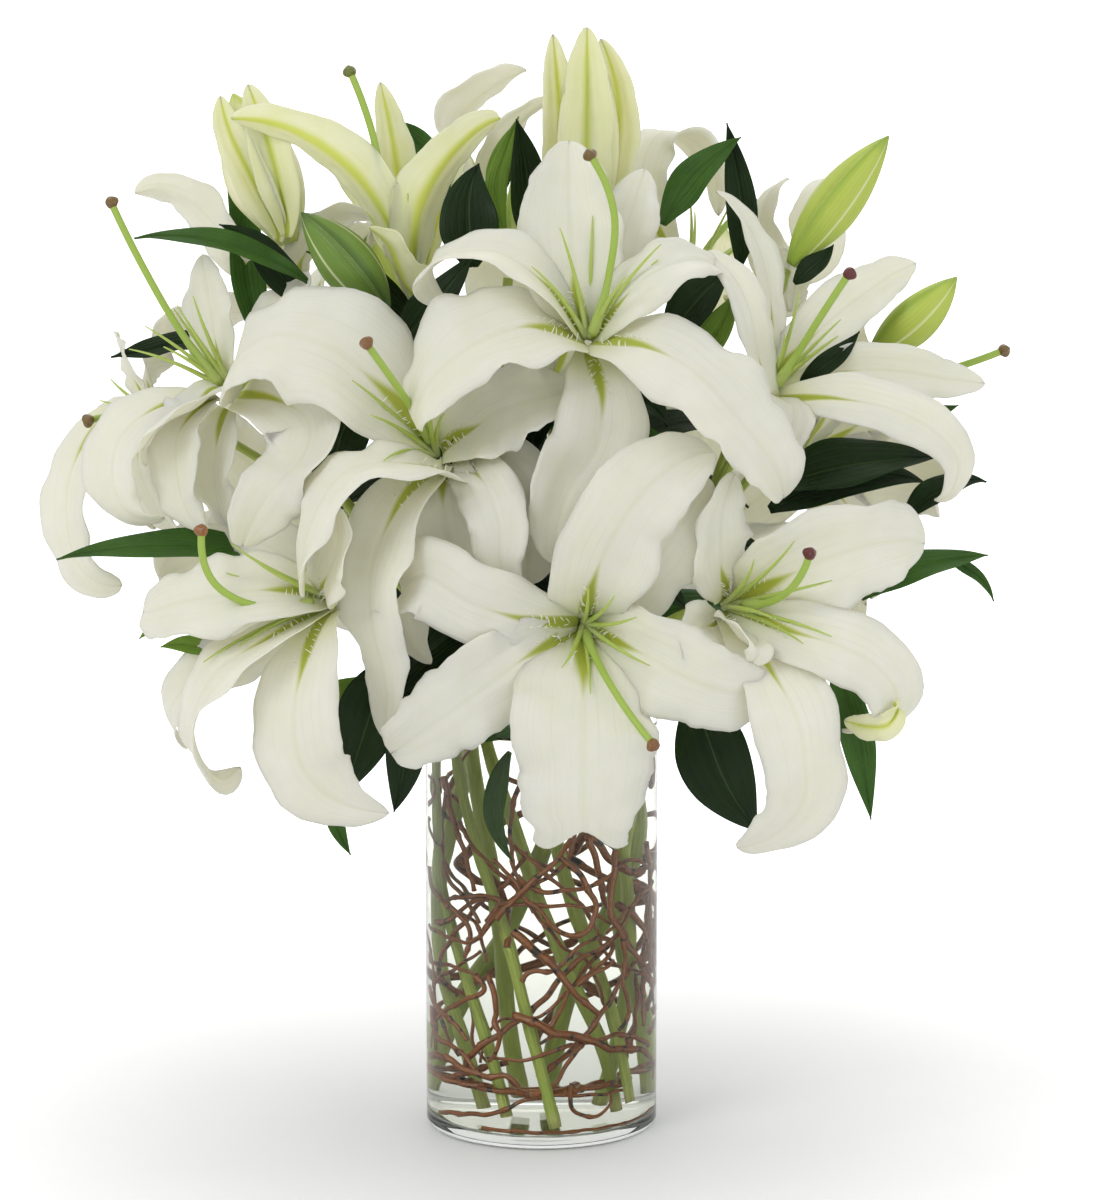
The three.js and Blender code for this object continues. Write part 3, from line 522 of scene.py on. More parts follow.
# %% [markdown]
# ## Vase and water
# The cylinder is blown in a mould: straight sides, a rounded heel, a thick clear floor and a
# fire-polished rim. It is turned as one closed profile. The water is turned too, and meets the
# glass a hair inside its inner skin, so that light passes from one straight into the other.

# %% Turned shapes
RADIUS, WALL, FLOOR, HEIGHT, HEEL = 52.0, 3.5, 5.0, 203.0, 3.5
WATER_TOP = 183.0
# Inner corner between wall and floor, the hollow under the foot and the steps round the axis.
CORNER, HOLLOW, STEPS = 5, 0.6, 160


def turned(profile, segments):
    """Closed solid of revolution: each (radius, height) is carried round by angle a as
    (r cos a, r sin a, z); the first and last points lie on the axis and close it."""
    rim = np.asarray(profile[1:-1], float)
    angle = np.arange(segments) / segments * TAU
    ring = np.stack([rim[:, None, 0] * np.cos(angle), rim[:, None, 0] * np.sin(angle),
                     np.broadcast_to(rim[:, None, 1], (len(rim), segments))], -1)
    points = np.concatenate([ring.reshape(-1, 3), [[0, 0, profile[0][1]]], [[0, 0, profile[-1][1]]]])
    i = np.arange(len(rim) * segments).reshape(len(rim), segments)
    j = np.roll(i, -1, axis=1)
    quads = np.stack([i[:-1], j[:-1], j[1:], i[1:]], -1).reshape(-1, 4)
    n = len(rim) * segments
    tris = np.concatenate([np.stack([j[0], i[0], np.full(segments, n)], -1),
                           np.stack([i[-1], j[-1], np.full(segments, n + 1)], -1)])
    lay = np.concatenate([points[:n, :2] / (2 * RADIUS) + 0.5, [[0.5, 0.5], [0.5, 0.5]]])
    return points, quads, tris, lay


def bend(centre, radius, start, end, count=7):
    """Points of an arc about centre from start to end degrees."""
    a = np.radians(np.linspace(start, end, count))
    return [(centre[0] + radius * c, centre[1] + radius * s) for c, s in zip(np.cos(a), np.sin(a))]


inner = RADIUS - WALL
lip = WALL / 2
# A point 1.5 mm before and after each arc keeps the long straight walls optically flat.
EASE = 1.5
glass_profile = [
    (0, HOLLOW), (RADIUS - 13.5, HOLLOW), (RADIUS - 12, HOLLOW), (RADIUS - 9, 0), (RADIUS - HEEL - EASE, 0),
    *bend((RADIUS - HEEL, HEEL), HEEL, -90, 0), (RADIUS, HEEL + EASE), (RADIUS, HEIGHT - lip - EASE),
    *bend((RADIUS - lip, HEIGHT - lip), lip, 0, 180, 9), (inner, HEIGHT - lip - EASE),
    (inner, FLOOR + CORNER + EASE), *bend((inner - CORNER, FLOOR + CORNER), CORNER, 0, -90),
    (inner - CORNER - EASE, FLOOR), (0, FLOOR)]
vase = add_mesh("glass_cylinder", *turned(glass_profile, STEPS), vase_glass)
seat(vase, "clear_glass", "vase")

# The water reaches this far into the glass; at the wall it climbs 1.6 mm.
SKIN = 0.15
meniscus = [(inner + SKIN, WATER_TOP + 1.6), (inner - 0.4, WATER_TOP + 0.8), (inner - 1.4, WATER_TOP + 0.25),
            (inner - 3.0, WATER_TOP), (inner - 4.5, WATER_TOP)]
water_profile = [
    (0, FLOOR - SKIN), (inner - CORNER - EASE, FLOOR - SKIN),
    *bend((inner - CORNER, FLOOR + CORNER), CORNER + SKIN, -90, 0),
    (inner + SKIN, FLOOR + CORNER + EASE), (inner + SKIN, WATER_TOP + 0.6), *meniscus, (0, WATER_TOP)]
water = add_mesh("still_water", *turned(water_profile, STEPS), vase_water)
seat(water, "water", "water")

# %% [markdown]
# ## The stems
# Ten stalks stand on the floor of the vase and cross as a florist's spiral does. Some give off
# side stalks that carry the further blooms and buds. The main one is drawn first in each entry.

# %% Stems
STEMS = {
  "stem_1": [
    [[6, -43, 9], [2, -41, 26], [-6, -37, 59], [-14, -31, 94], [-26, -24, 135], [-33, -20, 168],
      [-36, -21, 206], [-56, -38, 232], [-75, -59, 245]],
  ],
  "stem_2": [
    [[-14, -34, 12], [-20, -28, 39], [-31, -16, 80], [-38, -8, 115], [-39, -4, 160], [-38, -3, 208],
      [-58, -4, 240], [-92, -6, 290], [-126, -15, 321]],
    [[-60, -4, 243], [-110, 6, 290], [-160, 5, 320]],
  ],
  "stem_3": [
    [[29, -18, 11], [22, -18, 44], [14, -16, 64], [-1, -12, 107], [-9, -10, 138], [-20, -10, 180],
      [-25, -12, 230], [-39, -34, 298]],
    [[-22, -10, 222], [-40, 4, 300], [-53, -6, 356]],
  ],
  "stem_4": [
    [[37, -25, 16], [26, -18, 59], [17, -8, 83], [9, -1, 110], [3, -2, 150], [4, -6, 200], [10, -20, 300],
      [19, -36, 347]],
    [[4, -4, 174], [8, -15, 205], [17, -46, 236]],
  ],
  "stem_5": [
    [[31, 20, 10], [29, 18, 50], [25, 14, 80], [24, 11, 110], [31, 7, 160], [37, 4, 208], [52, 0, 240],
      [76, -6, 285], [91, -17, 321]],
    [[52, 0, 240], [108, 8, 310], [143, 6, 345]],
    [[72, -5, 277], [94, 8, 340], [108, -2, 385]],
  ],
  "stem_6": [[[19, 4, 10], [32, -6, 90], [29, -16, 150], [31, -24, 206], [46, -38, 228], [69, -48, 242]]],
  "stem_7": [
    [[2, 34, 10], [8, 32, 60], [20, 27, 100], [26, 24, 130], [22, 27, 170], [14, 34, 208], [12, 56, 262],
      [2, 86, 318]],
    [[14, 35, 212], [26, 24, 320], [20, 11, 390]],
    [[14, 33, 203], [22, 38, 220], [42, 60, 238], [65, 83, 250]],
  ],
  "stem_8": [
    [[-20, -5, 10], [-28, 0, 45], [-33, 6, 70], [-31, 15, 110], [-22, 24, 160], [-24, 32, 207],
      [-50, 52, 236], [-87, 75, 262]],
    [[-24, 32, 207], [-60, 36, 290], [-99, 49, 356]],
  ],
  "stem_9": [[[-6, 24, 10], [-10, 20, 48], [-12, 15, 80], [-16, 13, 120], [-21, 15, 165], [-24, 20, 206],
    [-24, 34, 280], [-15, 50, 378]]],
  "stem_10": [[[-30, 26, 10], [-23, 28, 48], [-8, 32, 90], [2, 38, 130], [10, 41, 170], [26, 38, 207],
    [34, 44, 250], [52, 52, 320], [62, 54, 358]]],
}


def stalk(name, runs):
    """Main stalk of radius 2.6 falling to 2.2 mm with a swollen joint where a leaf was stripped every
    45 mm, its side stalks 2 mm; all tubes of one piece."""
    parts = []
    for order, run in enumerate(runs):
        path = path_through(run, 60 if order == 0 else 28)
        t = np.linspace(0, 1, len(path))
        radius = 2.6 - 0.4 * t if order == 0 else 2.1 - 0.2 * t
        joint = 0.35 * np.exp(-((np.mod(t * 7 + 0.37 * len(runs), 1) - 0.5) / 0.12) ** 2)
        parts.append(tube(path, radius + joint, 14))
    return seat(add_mesh("stalk" + name[4:], *joined(parts), stem_green), "stem_green", name)


for stem_name, stem_runs in STEMS.items():
    stalk(stem_name, stem_runs)
print("stems:", len(STEMS))

# %% [markdown]
# ## The willow
# Curly willow was wound round the stalks inside the glass to hold them upright. Each run below is
# one visible length of twig, bent by hand, lying close against the inside of the glass; the back of
# the vase is filled by the same lengths turned about the axis, and shorter crooked ends, placed by
# rule, cross the middle.

# %% Willow twigs
TWIGS = [
    (1.7, [[-40, -21, 163], [-37, -25, 148], [-33, -30, 134], [-29, -34, 119], [-28, -36, 115]]),
    (1.7, [[-45, -5, 119], [-44, -8, 111], [-37, -25, 104], [-31, -33, 99], [-30, -33, 92],
        [-32, -31, 83]]),
    (1.6, [[-19, -41, 103], [-10, -44, 114], [-3, -45, 122], [4, -45, 127], [8, -44, 132],
        [12, -44, 140]]),
    (2.1, [[-12, -43, 98], [-3, -45, 90], [5, -45, 83], [14, -43, 70], [24, -38, 60]]),
    (2.1, [[-12, -43, 60], [-5, -45, 58], [4, -45, 53], [17, -42, 50], [28, -35, 43], [40, -21, 39],
        [45, -5, 28], [45, -5, 21]]),
    (1.9, [[-45, -5, 32], [-39, -23, 35], [-29, -34, 32], [-22, -39, 31], [-14, -43, 32],
        [-9, -44, 28]]),
    (1.8, [[-45, -5, 64], [-43, -12, 57], [-37, -25, 53], [-31, -33, 46]]),
    (1.6, [[-43, -5, 55], [-42, -8, 44], [-33, -28, 39], [-25, -35, 30]]),
    (1.1, [[-45, -5, 92], [-42, -16, 91], [-30, -33, 91], [-25, -38, 95], [-22, -40, 102]]),
    (1.5, [[8, -43, 131], [15, -41, 124], [20, -39, 115], [23, -37, 106], [19, -40, 97], [14, -42, 96],
        [7, -43, 98], [1, -44, 106], [-6, -44, 112], [-10, -43, 118], [-14, -42, 124],
        [-20, -39, 129]]),
    (1.2, [[-10, -42, 123], [-1, -43, 116], [10, -42, 116], [19, -38, 117], [27, -33, 120],
        [33, -28, 125], [37, -22, 126], [42, -10, 120], [43, -5, 115]]),
    (1.1, [[-17, -38, 109], [-5, -42, 110], [8, -41, 109], [17, -38, 108], [24, -35, 103],
        [30, -29, 98]]),
    (1.6, [[31, -32, 132], [30, -33, 118], [29, -34, 105], [34, -30, 91], [35, -28, 79], [34, -30, 70],
        [36, -27, 63], [36, -27, 55], [33, -31, 51]]),
    (1.3, [[44, -5, 112], [38, -22, 106], [32, -31, 100], [27, -35, 95]]),
    (1.6, [[33, -31, 95], [39, -22, 82], [44, -8, 69], [45, -5, 59], [45, -5, 53]]),
    (1.1, [[13, -42, 29], [12, -42, 22], [15, -41, 15], [24, -37, 13], [28, -34, 17], [29, -33, 23]]),
    (1.5, [[-22, -38, 77], [-19, -40, 61], [-20, -39, 56], [-17, -41, 51], [-19, -39, 43],
        [-22, -38, 38]]),
    (1.3, [[-28, -34, 76], [-24, -37, 70], [-31, -32, 65], [-36, -25, 60], [-42, -13, 51],
        [-44, -5, 35]]),
    (1.3, [[15, -40, 73], [20, -38, 77], [28, -32, 80], [30, -30, 83]]),
    (1.2, [[-8, -41, 75], [-3, -42, 80], [5, -42, 80], [13, -40, 88], [24, -35, 94]]),
    (1.1, [[-25, -37, 7], [-12, -43, 7], [4, -45, 7], [19, -41, 7], [31, -33, 7], [40, -21, 7],
        [45, -5, 8]]),
    (1.2, [[-39, -9, 7], [-27, -29, 12], [-18, -36, 14], [-9, -39, 20], [4, -40, 23], [19, -35, 22],
        [34, -21, 21]]),
    (1.2, [[4, -43, 55], [10, -42, 66], [12, -41, 71]]),
    (1.3, [[19, -37, 47], [13, -40, 41], [7, -41, 31], [4, -42, 28]]),
    (1.1, [[13, -39, 46], [4, -41, 43], [-5, -41, 40], [-16, -38, 39], [-22, -35, 39]]),
    (1.5, [[-38, -5, 160], [-38, -5, 139], [-36, -11, 117], [-29, -24, 107], [-25, -29, 99]]),
    (1.3, [[-33, -15, 162], [-36, -5, 144], [-36, -5, 126], [-36, -5, 103], [-26, -25, 98],
        [-22, -29, 81]]),
    (1.3, [[-40, -5, 94], [-35, -19, 99], [-27, -29, 109], [-22, -34, 110]]),
    (1.4, [[-22, -31, 100], [-17, -34, 110], [-23, -30, 111], [-32, -21, 109], [-38, -5, 103]]),
    (1.6, [[19, -33, 139], [22, -31, 127], [26, -28, 108], [31, -23, 96], [35, -14, 85]]),
    (1.7, [[41, -10, 131], [42, -5, 112], [42, -5, 94], [42, -5, 64]]),
    (1.2, [[24, -32, 93], [29, -27, 88], [25, -31, 82], [19, -35, 77], [14, -38, 72]]),
    (1.3, [[41, -5, 37], [33, -25, 47], [19, -36, 47], [8, -40, 50], [-1, -41, 47]]),
    (1.2, [[-40, -5, 35], [-40, -5, 51], [-40, -5, 66], [-36, -17, 74], [-25, -31, 86]]),
    (1.2, [[-7, -35, 166], [-12, -34, 150], [-12, -34, 136], [-10, -34, 121], [-3, -36, 105]]),
    (1.2, [[-44, -5, 80], [-44, -5, 76], [-36, -25, 78], [-26, -35, 76]]),
    (1.2, [[-44, -5, 141], [-44, -5, 136], [-41, -17, 131]]),
    (1.3, [[-45, -5, 147], [-43, -14, 157], [-45, -5, 160]]),
]


# A twig's middle stays within TWIG_REACH of the axis and TWIG_REST above the floor. Each of its
# two waves bends it by KINK, and the knobs of its trimmed shoots lie KNOB_GAP apart.
TWIG_REACH, TWIG_REST, KNOB_GAP, KINK = 46.2, 2.0, 26, 0.25


def twig(name, points, girth, seed, *nodes):
    """Twig tapering to 0.6 of its girth with small kinks: sines of about 14 and 31 mm, and knobs
    where shoots were trimmed."""
    rng = np.random.default_rng(seed)
    path = path_through(points, 60)
    run = np.linalg.norm(np.diff(path, axis=0), axis=1).sum()
    t = np.linspace(0, 1, len(path))
    kink = np.stack([KINK * np.sin(TAU * t * run / length + rng.uniform(0, TAU, 3)[:, None])
                     for length in (14, 31)]).sum(axis=0).T
    path = path + kink * ease(t, 0, 0.06)[:, None]
    reach = np.hypot(path[:, 0], path[:, 1])
    path[:, :2] *= np.minimum(1, TWIG_REACH / reach)[:, None]
    path[:, 2] = np.maximum(path[:, 2], FLOOR + TWIG_REST)
    knob = 0.4 * np.exp(-((np.mod(t * run / KNOB_GAP + rng.uniform(), 1) - 0.5) / 0.05) ** 2)
    radius = girth * (1 - 0.4 * t) * (1 + knob)
    return seat(add_mesh(name, *tube(path, radius, 9), willow_bark), "willow_bark", *nodes)


SOLID_TWIGS = 3
for number, (girth, points) in enumerate(TWIGS):
    nodes = [f"willow_twig_{number + 1}"] if number < SOLID_TWIGS else []
    twig(f"willow_{number + 1:02d}", points, girth, 40 + number, *nodes)
# Runs carried round to the back: which one, and by how many degrees. Each is pressed to
# SQUEEZE of its height and raised by LIFT.
LIFT, SQUEEZE = 14, 0.95
TURNED = [(0, 165), (1, 200), (2, 170), (3, 150), (4, 185), (5, 160), (9, 175), (12, 190), (14, 200),
          (6, 150), (28, 175), (33, 160)]
for number, (source, turn) in enumerate(TURNED):
    girth, points = TWIGS[source]
    cos, sin = np.cos(np.radians(turn)), np.sin(np.radians(turn))
    spun = [[x * cos - y * sin, x * sin + y * cos, LIFT + SQUEEZE * z] for x, y, z in points]
    twig(f"willow_back_{number + 1:02d}", spun, girth, 80 + number)
# Loose runs inside the bundle stay between these two heights.
INNER = 26
LOWEST, HIGHEST = 24, 186
for number in range(INNER):
    rng = np.random.default_rng(600 + number)
    turns = rng.uniform(-1.5, 1.5) + np.cumsum(rng.uniform(0.2, 0.6, 6)) * rng.choice([-1, 1]) + number * 2.4
    reach = rng.uniform(26, 43, 6)
    rise = 14 + 150 * number / INNER + np.cumsum(rng.uniform(2, 24, 6)) * rng.choice([-1, 1])
    rise = np.clip(rise, LOWEST, HIGHEST)
    points = np.stack([reach * np.cos(turns), reach * np.sin(turns), rise], axis=1)
    twig(f"willow_inner_{number + 1:02d}", points, rng.uniform(0.9, 2.0), 140 + number)
print("twigs:", len(TWIGS) + len(TURNED) + INNER)

# %% [markdown]
# ## The open blooms
# A lily opens into six tepals: three broad inner ones over three narrower outer ones. Each is
# narrow at its claw, widest past the middle and drawn to a point, channelled along its midrib and
# waved at its margins, and it recurves under its own weight. Each tepal is grown here by its own
# midrib, which no two share, because how it has flopped is what makes the bunch look alive.

# %% Tepal function
ROWS, COLS = 44, 19
TEPAL_THICK = 0.9
# A tepal's width at its claw as a share of its widest, where along it that widest place is, and
# how much fuller than its written half width it is drawn.
CLAW, WIDEST, FULLER = 0.26, 0.46, 1.06


def tepal_grid(base, facing, row, seed):
    """Midrib c(t) plus v w(t) across and a lift up. The half width w rises as a sine to WIDEST
    and falls as a cosine to a power; the lift is cup w |v|^1.6, less a furrow 1.1 mm deep at the
    midrib, plus margin waves that grow as |v|^2.6 and differ on the two sides, a curl, a fold
    and shallow pleats. A row is half width, roll at root and at tip in degrees, cup, midrib
    points and, where needed, the look."""
    half, roll_root, roll_tip, cup, rib = row[:5]
    look = row[5] if len(row) > 5 else {}
    rng = np.random.default_rng(seed)
    rib = np.asarray(rib, float)
    claw = np.asarray(base) + 0.45 * (rib[0] - base)
    t = 1 - (1 - np.linspace(0, 1, ROWS)) ** 1.3
    path = path_through([claw, *rib], t)
    tangent = unit(np.gradient(path, axis=0))
    reach = rib[-3] if len(rib) > 5 else rib[-1]
    side = unit(np.cross(facing, reach - rib[0]))
    across = unit(side - (tangent @ side)[:, None] * tangent)
    up = np.cross(tangent, across)
    roll = np.radians(roll_root + (roll_tip - roll_root) * t)[:, None]
    across, up = across * np.cos(roll) + up * np.sin(roll), up * np.cos(roll) - across * np.sin(roll)
    v = np.linspace(-1, 1, COLS)[None, :]
    t = t[:, None]
    rise = CLAW + (1 - CLAW) * np.sin(np.clip(t / WIDEST, 0, 1) * np.pi / 2)
    fall = np.cos(np.clip((t - WIDEST) / (1 - WIDEST), 0, 1) * np.pi / 2) ** look.get("tip", 0.56)
    phase = rng.uniform(0, TAU, 8)
    ragged = look.get("ragged", 0.018) * ease(t, 0.3, 0.85)
    edge = np.sign(v)
    nicks = np.sin(TAU * 8.3 * t + phase[6] * edge) + 0.7 * np.sin(TAU * 14.1 * t + phase[7] * edge)
    sway = 0.035 * np.sin(TAU * 2.3 * t + phase[0]) * edge + 0.03 * np.sin(TAU * 4.1 * t + phase[1])
    uneven = 1 + sway + ragged * nicks
    lobes = look.get("lobes", 0)
    fall = np.maximum(fall, 0.66) if lobes else fall
    wide = np.maximum(half * FULLER * rise * fall, 0.3)
    grown = ease(t, 0.12, 0.45)
    fold = 0.06 * np.sin(TAU * (1.1 * t + 0.4 * v) + phase[5]) * grown
    wave = look.get("wave", 0.13) * np.abs(v) ** 2.6 * grown * np.where(
        v < 0, np.sin(TAU * 2.6 * t + phase[2]) + 0.4 * np.sin(TAU * 6.2 * t + phase[3]),
        np.sin(TAU * 2.9 * t + phase[4]) + 0.4 * np.sin(TAU * 5.7 * t + phase[5]))
    furrow = 1.1 * np.exp(-(v / 0.11) ** 2) * (1 - 0.6 * t) * ease(t, 0.02, 0.2)
    pleat = 0.28 * (np.cos(v * 9.5 + np.sin(TAU * t)) - 1) * ease(t, 0.1, 0.4) * (1 - ease(t, 0.75, 1))
    curl = look.get("curl", 0.10) * np.abs(v) ** 5 * grown
    lift = wide * (cup * np.abs(v) ** 1.6 + wave - curl + fold) - furrow + pleat
    cut = lobes * (0.5 + 0.5 * np.cos(np.pi * v / 0.8)) + look.get("notch", 0) * np.exp(-(v / 0.4) ** 2)
    path = path[:, None] - (cut * ease(t, 0.8, 1))[..., None] * tangent[:, None]
    return path + (wide * v * uneven)[..., None] * across[:, None] + lift[..., None] * up[:, None]


def open_bloom(name, base, facing, rows, seed, material):
    """The tepals of one bloom, all standing for its solid. Returns its facing as a unit vector."""
    facing = np.asarray(facing, float)
    for k, row in enumerate(rows):
        grid = tepal_grid(np.asarray(base, float), facing, row, 7 * seed + k)
        piece = add_mesh(f"{name}_tepal_{k + 1}", *shell(grid, TEPAL_THICK), material)
        seat(piece, "tepal_white", name)
    return unit(facing)


